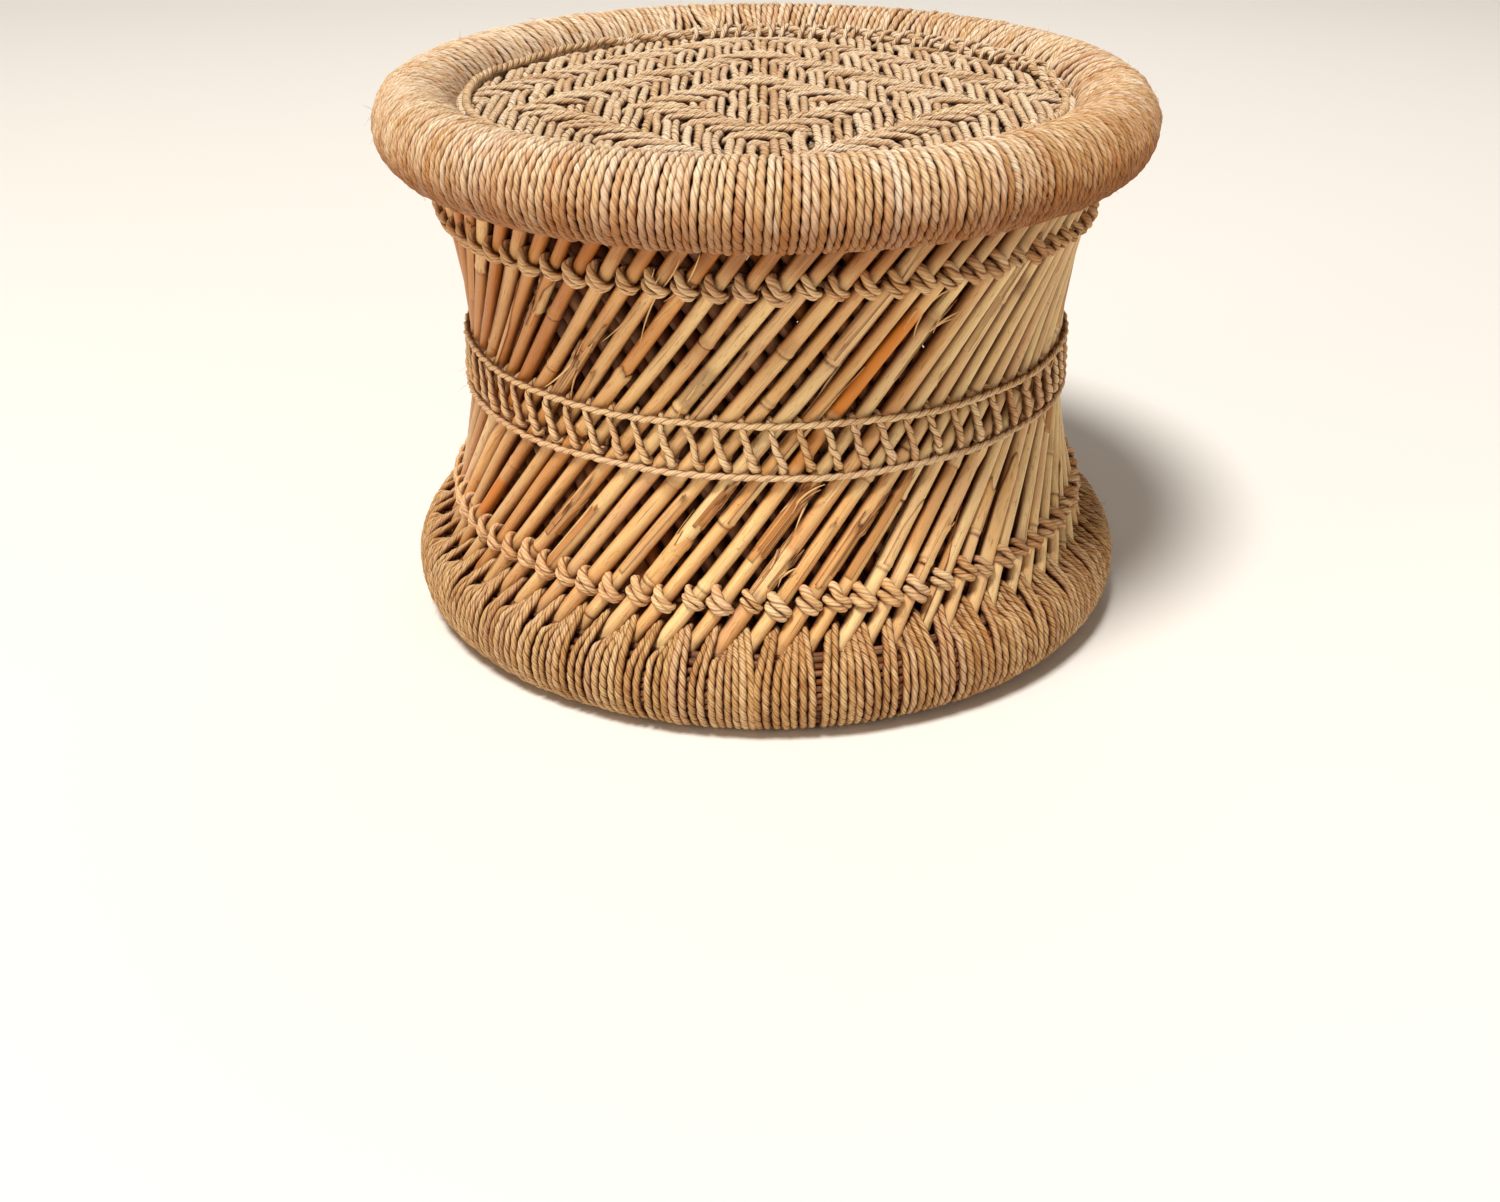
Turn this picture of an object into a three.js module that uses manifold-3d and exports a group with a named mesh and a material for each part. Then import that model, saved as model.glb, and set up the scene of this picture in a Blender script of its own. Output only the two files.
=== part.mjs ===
// Mudda stool: a drum of crossed reed canes drawn in at the waist. The canes' ends are clamped
// between reed bundles inside two rope-wound rings, a woven rope seat lies sunk in the upper
// ring, and hitched and laced ropes tie the canes where they cross.
// Millimetres, +Z up, origin at the centre of the face that the stool stands on.
import * as THREE from 'three';
import { mergeVertices } from 'three/addons/utils/BufferGeometryUtils.js';
import Module from 'manifold-3d';

const wasm = await Module();
wasm.setup();

// Overall sizes
const stoolHeight = 320;
const clearance = 0.4; // between pieces that lie against each other

// Canes: two layers of straight reeds that lean opposite ways, so each layer is a ruled drum
const groupCount = 38;
const canesPerGroup = 2; // of each layer
const caneSides = 6;
const caneThickness = 8.2; // across corners
const waistRadius = 172.5; // to the axes of the outer canes at the waist
const waistHeight = 159.5;
const caneLean = THREE.MathUtils.degToRad(36.9); // from upright, at the waist
const topGrip = 7; // how far the canes pass the middle of the top ring
const baseGrip = -6; // they stop this far short of the middle of the base ring
const contactWidth = 2.4; // pressed spot where two canes of a group are bound hard together
const contactDepth = 1.2;

// Rings: reed bundles wound with rope
const topRingThickness = 50;
const topRingOutset = 4.3; // middle of the ring's section, outside the middle of the cane layers
const baseRingThickness = 50;
const baseRingInset = 4.5;
const standingFlat = 0.5; // the winding is pressed flat this deep where it stands
const wrapRope = 4.6;
const ribDepth = 1.1; // of the grooves between turns of the top ring's winding
const bunchDepth = 2.2; // of the grooves between bunches of the base ring's winding
const bunchRise = 8; // the point of a bunch stands this far above the base ring
const bunchDip = 1.5; // and the winding between two bunches this far below its top
const ribsPerCane = 1;
const topShownDegrees = [-35, 0, 45, 90, 130, 165]; // round the section, from outermost
const baseShownDegrees = [-38, 0, 30, 60];
const baseHiddenDegrees = 100;
const hiddenArcSteps = 3;
const bundleArcSteps = 3;

// Seat
const seatDepth = 15.5; // below the top of the ring
const seatThickness = 7.5;
const courseHeight = 0.9; // raised rhombs of the diamond weave
const courseWidth = 11;
const coursePitch = 28;
const courseCount = 5;
const courseSlenderShare = 0.92;
const borderRope = 4.6;
const borderInset = 1;

// Ropes that tie the canes
const upperKnotDrop = 14; // the hitches sit on the last crossing this far clear of a ring
const lowerKnotRise = 8;
const knotThickness = 6.6;
const hitchRope = 3.6;
const hitchDip = 2.4; // the rope sinks this far between two canes
const waistRope = 4.2;
const bandHeight = 154.8; // middle of the laced band
const bandSpacing = 29.6; // between its two ropes
const laceCord = 2.8;
const ropeSides = 5;
const laceSides = 4;

const tau = 2 * Math.PI;
const inwards = Math.PI;
const downwards = -Math.PI / 2;
const up = new THREE.Vector3(0, 0, 1);
const ringSegments = groupCount;
const caneCount = groupCount * canesPerGroup;
const canePitch = tau / caneCount;
const caneRadius = caneThickness / 2;
const caneFlat = caneRadius * Math.cos(Math.PI / caneSides);
const lean = Math.tan(caneLean);

const topRingHeight = stoolHeight - topRingThickness / 2;
const baseRingHeight = baseRingThickness / 2 - standingFlat;
const caneTop = topRingHeight + topGrip;
const caneBottom = baseRingHeight - baseGrip;
const seatTop = stoolHeight - seatDepth;

const materials = {
  cane: finish(0xcf9f63, 0.55),
  rope: finish(0xc29a62, 0.85),
  bundle: finish(0x7d4526, 0.8),
  seat: finish(0xcaa670, 0.85),
};

function finish(colour, roughness) {
  return new THREE.MeshStandardMaterial({ color: colour, roughness, metalness: 0 });
}

// Each cane layer is a hyperboloid: its axes' radius grows with height above or below the waist.
const outerLayer = { waist: waistRadius, lean };
const layerStep = caneThickness + clearance;
const farthest = Math.max(caneTop - waistHeight, waistHeight - caneBottom);
const innerWaist = waistRadius - layerStep;
const innerFar = axisRadius(outerLayer, waistHeight + farthest)
  - layerStep / Math.cos(flare(outerLayer, waistHeight + farthest));
const innerLayer = {
  waist: innerWaist,
  lean: Math.sqrt(innerFar ** 2 - innerWaist ** 2) / farthest,
};

function axisRadius(layer, height) {
  return Math.hypot(layer.waist, layer.lean * (height - waistHeight));
}

// Slope of the layer's outline from upright, positive where it widens upwards
function flare(layer, height) {
  return Math.atan(layer.lean ** 2 * (height - waistHeight) / axisRadius(layer, height));
}

// How far round a cane has travelled at a height, from where it crosses the waist
function travel(layer, height) {
  return Math.atan(layer.lean * (height - waistHeight) / layer.waist);
}

// Point of a section, at a distance outwards from the axes of a layer
function offLayer(layer, height, distance) {
  const slope = flare(layer, height);
  return {
    radius: axisRadius(layer, height) + distance * Math.cos(slope),
    height: height - distance * Math.sin(slope),
  };
}

// Radius of the face of a layer at a height, measured level
function faceRadius(layer, height, distance) {
  return axisRadius(layer, height) + distance / Math.cos(flare(layer, height));
}

function crossingHeight(crossings) {
  return waistHeight + waistRadius * Math.tan(crossings * canePitch / 2) / lean;
}

// The last crossing, counted from the waist, that isn't past a height
function lastCrossing(height) {
  return Math.trunc(travel(outerLayer, height) / (canePitch / 2));
}

function middleRadius(height) {
  return (axisRadius(outerLayer, height) + axisRadius(innerLayer, height)) / 2;
}

// Surface through closed rows of points, each row once round the stool. Two rows next to each
// other may differ in number, where one is a multiple of the other.
function rowSurface(rows) {
  const positions = rows.flatMap((row) => row.flatMap((point) => point));
  const index = [];
  const starts = [];
  let total = 0;
  for (const row of rows) {
    starts.push(total);
    total += row.length;
  }
  rows.forEach((row, j) => {
    const nextRow = (j + 1) % rows.length;
    zip(index, starts[j], row.length, starts[nextRow], rows[nextRow].length);
  });
  const geometry = new THREE.BufferGeometry();
  geometry.setAttribute('position', new THREE.Float32BufferAttribute(positions, 3));
  geometry.setIndex(index);
  return geometry;
}

// Triangles between two rows that go round the same way
function zip(index, startA, countA, startB, countB) {
  const steps = Math.max(countA, countB);
  const at = (start, count, step) => start + Math.round(step * count / steps - 1e-9) % count;
  for (let step = 0; step < steps; step += 1) {
    const a = at(startA, countA, step);
    const nextA = at(startA, countA, step + 1);
    const b = at(startB, countB, step);
    const nextB = at(startB, countB, step + 1);
    if (a !== nextA) index.push(a, nextA, b);
    if (b !== nextB) index.push(nextA, nextB, b);
  }
}

function onRing(radius, height, angle) {
  return [radius * Math.cos(angle), radius * Math.sin(angle), height];
}

// A row of points round the stool; place(step) gives the radius and height of each
function ringRow(count, place, turn = 0) {
  return Array.from({ length: count }, (_, step) => {
    const { radius, height } = place(step);
    return onRing(radius, height, turn + tau * step / count);
  });
}

// A wound ring: its section is a circle, open along a slot where the canes enter. Its points
// start round the stool at a turn that sets them against the canes.
function woundRing(radius, height, thickness, mouthSign, turn) {
  const outer = thickness / 2;
  return { radius, height, outer, inner: outer - wrapRope, mouthSign, turn };
}

function onSection(ring, size, degrees) {
  const angle = THREE.MathUtils.degToRad(degrees) * -ring.mouthSign;
  return {
    radius: ring.radius + size * Math.cos(angle),
    height: ring.height + size * Math.sin(angle),
  };
}

// Where the slot's wall on one side of the canes meets a circle of the section. The side is 1
// outside the outer canes and -1 inside the inner ones. Facets of a ring lie inside its circle,
// so the outer wall stands off by that much too.
function mouthPoint(ring, size, side) {
  let near = 0;
  let far = size;
  const halvings = 40;
  for (let step = 0; step < halvings; step += 1) {
    const reach = (near + far) / 2;
    const wall = slotWall(ring.height + ring.mouthSign * reach, side);
    const inside = Math.hypot(wall - ring.radius, reach) < size;
    if (inside) near = reach;
    else far = reach;
  }
  const height = ring.height + ring.mouthSign * near;
  return { radius: slotWall(height, side), height };
}

function slotWall(height, side) {
  const distance = caneRadius + clearance;
  if (side < 0) return faceRadius(innerLayer, height, -distance);
  return faceRadius(outerLayer, height, distance) / Math.cos(Math.PI / ringSegments);
}

// Angle of a point on the section, in degrees, growing from outermost away from the mouth
function sectionDegrees(ring, point) {
  const rise = (point.height - ring.height) * -ring.mouthSign;
  return THREE.MathUtils.radToDeg(Math.atan2(rise, point.radius - ring.radius));
}

const topRing = woundRing(
  middleRadius(topRingHeight) + topRingOutset, topRingHeight, topRingThickness, -1, 0,
);
const bunchTurn = travel(outerLayer, baseRingHeight + baseRingThickness / 2) + canePitch / 2;
const baseRing = woundRing(
  middleRadius(baseRingHeight) - baseRingInset, baseRingHeight, baseRingThickness, 1, bunchTurn,
);

const topWindingEnd = mouthPoint(topRing, topRing.outer, 1).height;
const bunchEnd = baseRing.height + baseRing.outer + bunchRise;
const upperKnotHeight = crossingHeight(lastCrossing(topWindingEnd - upperKnotDrop));
const lowerKnotHeight = crossingHeight(lastCrossing(bunchEnd + lowerKnotRise));

// Points along the section from one angle towards another, without the first
function arc(ring, size, from, to, steps) {
  return Array.from({ length: steps }, (_, step) => (
    onSection(ring, size, from + (to - from) * (step + 1) / steps)
  ));
}

function mouthDegrees(ring, size, side) {
  const degrees = sectionDegrees(ring, mouthPoint(ring, size, side));
  return side < 0 ? degrees + 360 : degrees;
}

// The filling's round side, from the slot where the canes enter to where its halves meet
function fillingArc(ring, size, side, caneEnd) {
  const split = middleRadius(slotEnd(ring, caneEnd)) + side * clearance / 2;
  const splitDegrees = THREE.MathUtils.radToDeg(Math.acos((split - ring.radius) / size));
  const from = mouthDegrees(ring, size, side);
  return [mouthPoint(ring, size, side), ...arc(ring, size, from, splitDegrees, bundleArcSteps)];
}

function slotEnd(ring, caneEnd) {
  const endReach = caneRadius * Math.sin(caneLean) + clearance;
  return caneEnd - ring.mouthSign * endReach;
}

// Half of the reed filling, on one side of the canes
function bundle(ring, side, caneEnd) {
  const height = slotEnd(ring, caneEnd);
  const outline = [
    { radius: middleRadius(height) + side * clearance / 2, height },
    { radius: slotWall(height, side), height },
    ...fillingArc(ring, ring.inner - clearance, side, caneEnd),
  ];
  if (side * ring.mouthSign > 0) outline.reverse();
  return rowSurface(outline.map((point) => plainRow(ring, point)));
}

function plainRow(ring, point) {
  return ringRow(ringSegments, () => point, ring.turn);
}

// The inside of a winding and its hidden side, from where its shown side ends
function wrapBack(ring, from, caneEnd) {
  const points = [
    ...arc(ring, ring.outer, from, mouthDegrees(ring, ring.outer, -1), hiddenArcSteps),
    ...fillingArc(ring, ring.inner, -1, caneEnd),
    ...fillingArc(ring, ring.inner, 1, caneEnd).slice(0, -1).reverse(),
  ];
  return points.map((point) => plainRow(ring, point));
}

// The top ring's winding: a shell with its turns modelled on the side that shows
function topWrap() {
  const turns = (place) => ringRow(2 * caneCount * ribsPerCane, (i) => place(i % 2));
  const rows = [
    turns(() => mouthPoint(topRing, topRing.outer, 1)),
    ...topShownDegrees.map((degrees) => turns((between) => (
      onSection(topRing, topRing.outer - between * ribDepth, degrees)
    ))),
  ];
  return rowSurface([...rows, ...wrapBack(topRing, topShownDegrees.at(-1), caneTop)]);
}

// The base ring's winding: bunches of rope that rise to a point between two canes
function baseWrap() {
  const ringTop = baseRing.height + baseRing.outer;
  const flatHalf = Math.sqrt(baseRing.outer ** 2 - (baseRing.outer - standingFlat) ** 2);
  const bunches = (place) => ringRow(2 * caneCount, (i) => place(i % 2), bunchTurn);
  const rows = [
    bunches((between) => {
      const height = between ? ringTop - bunchDip : ringTop + bunchRise;
      return { radius: slotWall(height, 1) + wrapRope / 2, height };
    }),
    ...baseShownDegrees.map((degrees) => bunches((between) => (
      onSection(baseRing, baseRing.outer - between * bunchDepth, degrees)
    ))),
    bunches(() => ({ radius: baseRing.radius + flatHalf, height: 0 })),
    plainRow(baseRing, { radius: baseRing.radius - flatHalf, height: 0 }),
    ...wrapBack(baseRing, baseHiddenDegrees, caneBottom),
  ];
  return rowSurface(rows.reverse());
}

// Solid of a closed geometry, and back again
function toSolid(geometry) {
  const bare = geometry.clone();
  bare.deleteAttribute('normal');
  bare.deleteAttribute('uv');
  const merged = mergeVertices(bare, 1e-5);
  return new wasm.Manifold(new wasm.Mesh({
    numProp: 3,
    vertProperties: new Float32Array(merged.attributes.position.array),
    triVerts: new Uint32Array(merged.index.array),
  }));
}

function toGeometry(solid) {
  const mesh = solid.getMesh();
  const geometry = new THREE.BufferGeometry();
  geometry.setAttribute('position', new THREE.BufferAttribute(mesh.vertProperties, 3));
  geometry.setIndex(new THREE.BufferAttribute(mesh.triVerts, 1));
  return geometry;
}

// A straight cane that crosses the waist at a place round the stool; way is 1 or -1
function cane(layer, way, turn) {
  const middle = (caneTop + caneBottom) / 2;
  const angle = Math.atan(layer.lean);
  const length = (caneTop - caneBottom) / Math.cos(angle);
  const geometry = new THREE.CylinderGeometry(caneRadius, caneRadius, length, caneSides);
  geometry.rotateX(Math.PI / 2);
  geometry.rotateX(-way * angle);
  geometry.translate(layer.waist, way * layer.lean * (middle - waistHeight), middle);
  geometry.rotateZ(turn);
  return toSolid(geometry);
}

// The spot where an outer and an inner cane are pressed together, at a place and a height
function contact(turn, height) {
  const outerFace = axisRadius(outerLayer, height) - caneFlat;
  const innerFace = axisRadius(innerLayer, height) + caneFlat;
  const length = outerFace - innerFace + 2 * contactDepth;
  const geometry = new THREE.BoxGeometry(length, contactWidth, contactWidth);
  geometry.translate((outerFace + innerFace) / 2, 0, height);
  geometry.rotateZ(turn);
  return toSolid(geometry);
}

// Two outer and two inner canes, bound together at their crossings in the laced band
function caneGroup() {
  const turns = Array.from({ length: canesPerGroup }, (_, i) => i * canePitch);
  const canes = turns.flatMap((turn) => [
    cane(outerLayer, 1, turn),
    cane(innerLayer, -1, turn),
  ]);
  const spots = turns.map((turn) => contact(turn, waistHeight));
  const links = turns.slice(1).map((turn) => (
    contact(turn - canePitch / 2, crossingHeight(-1))
  ));
  const whole = [...canes, ...spots, ...links].reduce((sum, solid) => sum.add(solid));
  return toGeometry(whole);
}

// A rope once round the stool: rings of points about a centre line that place(step) gives. One
// corner of the rope's section faces what it lies against, at an angle from outwards.
function ropeRing(steps, sides, facing, place, turn = 0) {
  const centres = Array.from({ length: steps }, (_, step) => place(step));
  const rows = Array.from({ length: sides }, (_, side) => ringRow(steps, (step) => {
    const { radius, height, thickness } = centres[step];
    const angle = facing + tau * side / sides;
    return {
      radius: radius + thickness / 2 * Math.cos(angle),
      height: height + thickness / 2 * Math.sin(angle),
    };
  }, turn));
  return rowSurface(rows);
}

// Hitches on every outer cane, with the rope sunk between one cane and the next
function knotRow(height) {
  return ropeRing(2 * caneCount, ropeSides, inwards, (step) => {
    const onCane = step % 2 === 0;
    const thickness = onCane ? knotThickness : hitchRope;
    const stand = caneRadius + clearance + knotThickness / 2 - (onCane ? 0 : hitchDip);
    return { ...offLayer(outerLayer, height, stand), thickness };
  }, travel(outerLayer, height));
}

function waistRing(height) {
  const place = offLayer(outerLayer, height, caneRadius + clearance);
  const radius = place.radius / Math.cos(Math.PI / ringSegments) + waistRope / 2;
  return ropeRing(ringSegments, ropeSides, inwards, () => (
    { radius, height, thickness: waistRope }
  ));
}

// A thin cord laced between the waist ropes: down across a cane, and up beside it to the next
function lacing() {
  const reach = bandSpacing / 2 - waistRope / 2 - laceCord / 2 - clearance;
  const stand = caneRadius + clearance + laceCord / 2;
  return ropeRing(2 * caneCount, laceSides, inwards, (step) => {
    const height = bandHeight + (step % 2 ? -reach : reach);
    return { ...offLayer(outerLayer, height, stand), thickness: laceCord };
  }, travel(outerLayer, bandHeight) - canePitch / 4);
}

// Rope seat: a disc with the concentric rhombs of its diamond weave standing proud
function seat() {
  const edge = topRing.radius - topRing.outer - clearance;
  const discTop = seatTop - courseHeight;
  const disc = new THREE.CylinderGeometry(edge, edge, seatThickness - courseHeight, ringSegments);
  disc.rotateX(Math.PI / 2);
  disc.rotateZ(Math.PI / 2);
  disc.translate(0, 0, discTop - (seatThickness - courseHeight) / 2);
  let solid = toSolid(disc);
  for (let course = 0; course < courseCount; course += 1) {
    const reach = courseWidth + course * coursePitch;
    const shape = new THREE.Shape(rhomb(reach));
    if (course > 0) shape.holes.push(new THREE.Path(rhomb(reach - courseWidth)));
    const depth = 2 * courseHeight;
    const ridge = new THREE.ExtrudeGeometry(shape, { depth, bevelEnabled: false });
    ridge.translate(0, 0, seatTop - depth);
    solid = solid.add(toSolid(ridge));
  }
  return toGeometry(solid);
}

function rhomb(reach) {
  const depth = reach * courseSlenderShare;
  return [[reach, 0], [0, depth], [-reach, 0], [0, -depth]].map(([x, y]) => (
    new THREE.Vector2(x, y)
  ));
}

function seatBorder() {
  const edge = topRing.radius - topRing.outer - clearance;
  const radius = edge - borderInset - borderRope / 2;
  const height = seatTop - courseHeight + clearance + borderRope / 2;
  return ropeRing(ringSegments, ropeSides, downwards, () => (
    { radius, height, thickness: borderRope }
  ));
}

const stool = new THREE.Group();

function addPiece(name, geometry, material, turn = 0) {
  const mesh = new THREE.Mesh(geometry, material);
  mesh.name = name;
  mesh.rotateOnAxis(up, turn);
  stool.add(mesh);
}

addPiece('top_ring_outer_bundle', bundle(topRing, 1, caneTop), materials.bundle);
addPiece('top_ring_inner_bundle', bundle(topRing, -1, caneTop), materials.bundle);
addPiece('top_ring_wrap', topWrap(), materials.rope);
addPiece('base_ring_outer_bundle', bundle(baseRing, 1, caneBottom), materials.bundle);
addPiece('base_ring_inner_bundle', bundle(baseRing, -1, caneBottom), materials.bundle);
addPiece('base_ring_wrap', baseWrap(), materials.rope);
addPiece('seat_weave', seat(), materials.seat);
addPiece('seat_border_rope', seatBorder(), materials.rope);
addPiece('upper_knot_rope', knotRow(upperKnotHeight), materials.rope);
addPiece('lower_knot_rope', knotRow(lowerKnotHeight), materials.rope);
addPiece('upper_waist_rope', waistRing(bandHeight + bandSpacing / 2), materials.rope);
addPiece('lower_waist_rope', waistRing(bandHeight - bandSpacing / 2), materials.rope);
addPiece('waist_lacing', lacing(), materials.rope);

const caneGeometry = caneGroup();
for (let group = 0; group < groupCount; group += 1) {
  const name = `cane_group_${String(group + 1).padStart(2, '0')}`;
  addPiece(name, caneGeometry, materials.cane, group * canesPerGroup * canePitch);
}

export default stool;
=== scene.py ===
# Looks of the mudda stool: real twisted ropes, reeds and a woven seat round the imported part.
# Lengths in this script are millimetres until a mesh is made, and +Z is up.
import math

import bpy
import numpy as np
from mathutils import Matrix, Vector


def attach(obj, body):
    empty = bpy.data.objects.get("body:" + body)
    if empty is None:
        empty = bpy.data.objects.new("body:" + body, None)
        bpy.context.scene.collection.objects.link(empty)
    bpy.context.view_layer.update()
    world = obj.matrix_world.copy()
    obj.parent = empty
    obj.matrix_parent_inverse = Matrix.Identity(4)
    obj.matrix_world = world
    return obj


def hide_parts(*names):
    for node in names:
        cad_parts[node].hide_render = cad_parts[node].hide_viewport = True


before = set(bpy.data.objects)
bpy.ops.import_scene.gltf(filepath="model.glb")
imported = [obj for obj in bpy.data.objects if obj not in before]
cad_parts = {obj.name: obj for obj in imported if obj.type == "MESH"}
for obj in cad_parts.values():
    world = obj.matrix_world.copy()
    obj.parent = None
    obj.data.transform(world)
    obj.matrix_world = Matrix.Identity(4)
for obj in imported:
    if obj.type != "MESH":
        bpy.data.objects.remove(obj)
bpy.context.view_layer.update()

TAU = 2 * math.pi
MM = 0.001

# The stool's sizes, as in the CAD model
CANES = 76
GROUPS = 38
CANES_PER_GROUP = CANES // GROUPS
PITCH = TAU / CANES
WAIST_HEIGHT = 159.5
OUTER = {"waist": 172.5, "lean": math.tan(math.radians(36.9))}
INNER = {"waist": 163.9, "lean": 0.72492}
CANE_TOP = 302.0
CANE_BOTTOM = 30.5
TOP_RING = {"radius": 199.97, "height": 295.0}
BASE_RING = {"radius": 190.98, "height": 24.5}
RING_SIZE = 25.0
SEAT_EDGE = 177.0
UPPER_KNOTS = 249.55
LOWER_KNOTS = 69.45
BAND_TOP = 169.6
BAND_BOTTOM = 140.0

# Radii of the reeds and ropes. A lay is the length in which a rope's plies go round once, and
# the lays of a rope that closes in a ring are counted instead
CANE_SIZE, INNER_CANE_SIZE = 4.4, 5.1
TOP_SIZE, TOP_LAY = 2.3, 18.5
BASE_SIZE, BASE_LAY = 2.34, 16.0
HITCH_LAY, LINK_LAY = 19.0, 11.0
WAIST_SIZE, WAIST_LAYS = 2.15, 80
LACE_LAY, RETURN_LAY = 13.0, 10.5
UPRIGHT_SIZE, LEVEL_SIZE, SEAT_LAY = 2.7, 2.25, 12.5
BORDER_SIZE, BORDER_LAYS, TURN_SIZE = 2.65, 82, 2.15


# Noise and curves

def smoothstep(t):
    t = np.clip(t, 0.0, 1.0)
    return t * t * (3 - 2 * t)


def rise(x, start, width):
    """0 up to start, growing to 1 over this width."""
    return smoothstep((x - start) / width)


def fall(x, end, width):
    """0 from end on, growing to 1 over this width below it."""
    return smoothstep((end - x) / width)


def bell(x, width):
    return np.exp(-(x / width) ** 2)


def wander(rng, rows, count, knots, size, at=None):
    """Smooth random wandering of about this size, along rows of count points. at gives their
    places along the row, from 0 to 1, where they aren't even."""
    knots = max(int(knots), 2)
    values = rng.normal(0.0, size, (rows, knots))
    t = np.linspace(0, 1, count)[None] if at is None else at
    t = np.broadcast_to(t * (knots - 1), (rows, count))
    left = np.minimum(t.astype(int), knots - 2)
    share = smoothstep(t - left)
    row = np.arange(rows)[:, None]
    return values[row, left] * (1 - share) + values[row, left + 1] * share


def vary(rng, amount, shape=None):
    """Random factors round 1."""
    return np.exp(rng.normal(0, amount, shape))


def through(points, count):
    """A smooth curve through points (rows, k, 3), as count points spaced evenly along it."""
    fine = 12
    before = 2 * points[:, :1] - points[:, 1:2]
    after = 2 * points[:, -1:] - points[:, -2:-1]
    p = np.concatenate([before, points, after], axis=1)
    t = np.linspace(0, 1, fine, endpoint=False)[None, None, :, None]
    a, b, c, d = (p[:, i:p.shape[1] - 3 + i, None] for i in range(4))
    curve = 0.5 * (2 * b + (c - a) * t + (2 * a - 5 * b + 4 * c - d) * t ** 2
                   + (3 * b - a - 3 * c + d) * t ** 3)
    curve = curve.reshape(len(p), -1, points.shape[2])
    curve = np.concatenate([curve, points[:, -1:]], axis=1)
    return evenly(curve, count)


def length_along(line):
    steps = np.linalg.norm(np.diff(line[..., :3], axis=1), axis=2)
    return np.concatenate([np.zeros((len(line), 1)), np.cumsum(steps, axis=1)], axis=1)


def evenly(curve, count):
    made = np.empty((len(curve), count, curve.shape[2]))
    for row, (points, at) in enumerate(zip(curve, length_along(curve))):
        want = np.linspace(0, at[-1], count)
        for axis in range(curve.shape[2]):
            made[row, :, axis] = np.interp(want, at, points[:, axis])
    return made


def polar(radius, azimuth, height):
    radius, azimuth, height = np.broadcast_arrays(radius, azimuth, height)
    return np.stack([radius * np.cos(azimuth), radius * np.sin(azimuth), height], axis=-1)


def circle(points):
    return np.linspace(0, TAU, points, endpoint=False)[None]


def unit(v):
    return v / np.maximum(np.linalg.norm(v, axis=-1, keepdims=True), 1e-9)


def square_to(axis, v):
    return unit(v - (v * axis).sum(-1, keepdims=True) * axis)


def round_stool(points):
    """The level way round the stool at these points."""
    return unit(np.stack([-points[..., 1], points[..., 0], 0 * points[..., 0]], -1))


# The drum that the canes lie on

def axis_radius(layer, height):
    return np.hypot(layer["waist"], layer["lean"] * (height - WAIST_HEIGHT))


def travel(layer, height):
    return np.arctan(layer["lean"] * (height - WAIST_HEIGHT) / layer["waist"])


def flare(layer, height):
    return np.arctan(layer["lean"] ** 2 * (height - WAIST_HEIGHT) / axis_radius(layer, height))


def off_layer(layer, height, azimuth, distance):
    """A point at a distance outwards from the axes of a layer, at a true azimuth."""
    slope = flare(layer, height)
    radius = axis_radius(layer, height) + distance * np.cos(slope)
    return polar(radius, azimuth, height - distance * np.sin(slope))


def outwards(layer, height, azimuth):
    slope = flare(layer, height)
    return polar(np.cos(slope), azimuth, -np.sin(slope))


# As in the photograph, reeds are paler and ropes browner to its right, and both are warmer to
# its left: partly their own colour, and partly painted light and shade
RIGHT_SIDE = math.radians(-28)
LEFT_SIDE = math.radians(205)
BACK_SIDE = math.radians(85)


def towards(azimuth, side, width=62.0):
    """1 at a side of the stool, falling to 0 at this many degrees from it."""
    apart = np.abs((azimuth - side + math.pi) % TAU - math.pi)
    return smoothstep(1 - apart / math.radians(width))


def right_left(azimuth):
    return towards(azimuth, RIGHT_SIDE), towards(azimuth, LEFT_SIDE)


# Meshes

# The numbers of a look, which a material reads as the parts of a colour: a tone from 0, dark, to
# 1, pale; how orange; how dark with dirt or shadow; and a free number, which varies the noise
TONE, ORANGE, DARK, FREE = range(4)


def parts(look):
    """Views of the four numbers of a look, which change the look itself."""
    return np.moveaxis(look, -1, 0)


def raise_to(part, value):
    """Bring the numbers of an array that are lower up to this value, in place."""
    np.maximum(part, value, out=part)


def add_object(name, data):
    made = bpy.data.objects.new(name, data)
    bpy.context.collection.objects.link(made)
    return made


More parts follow.
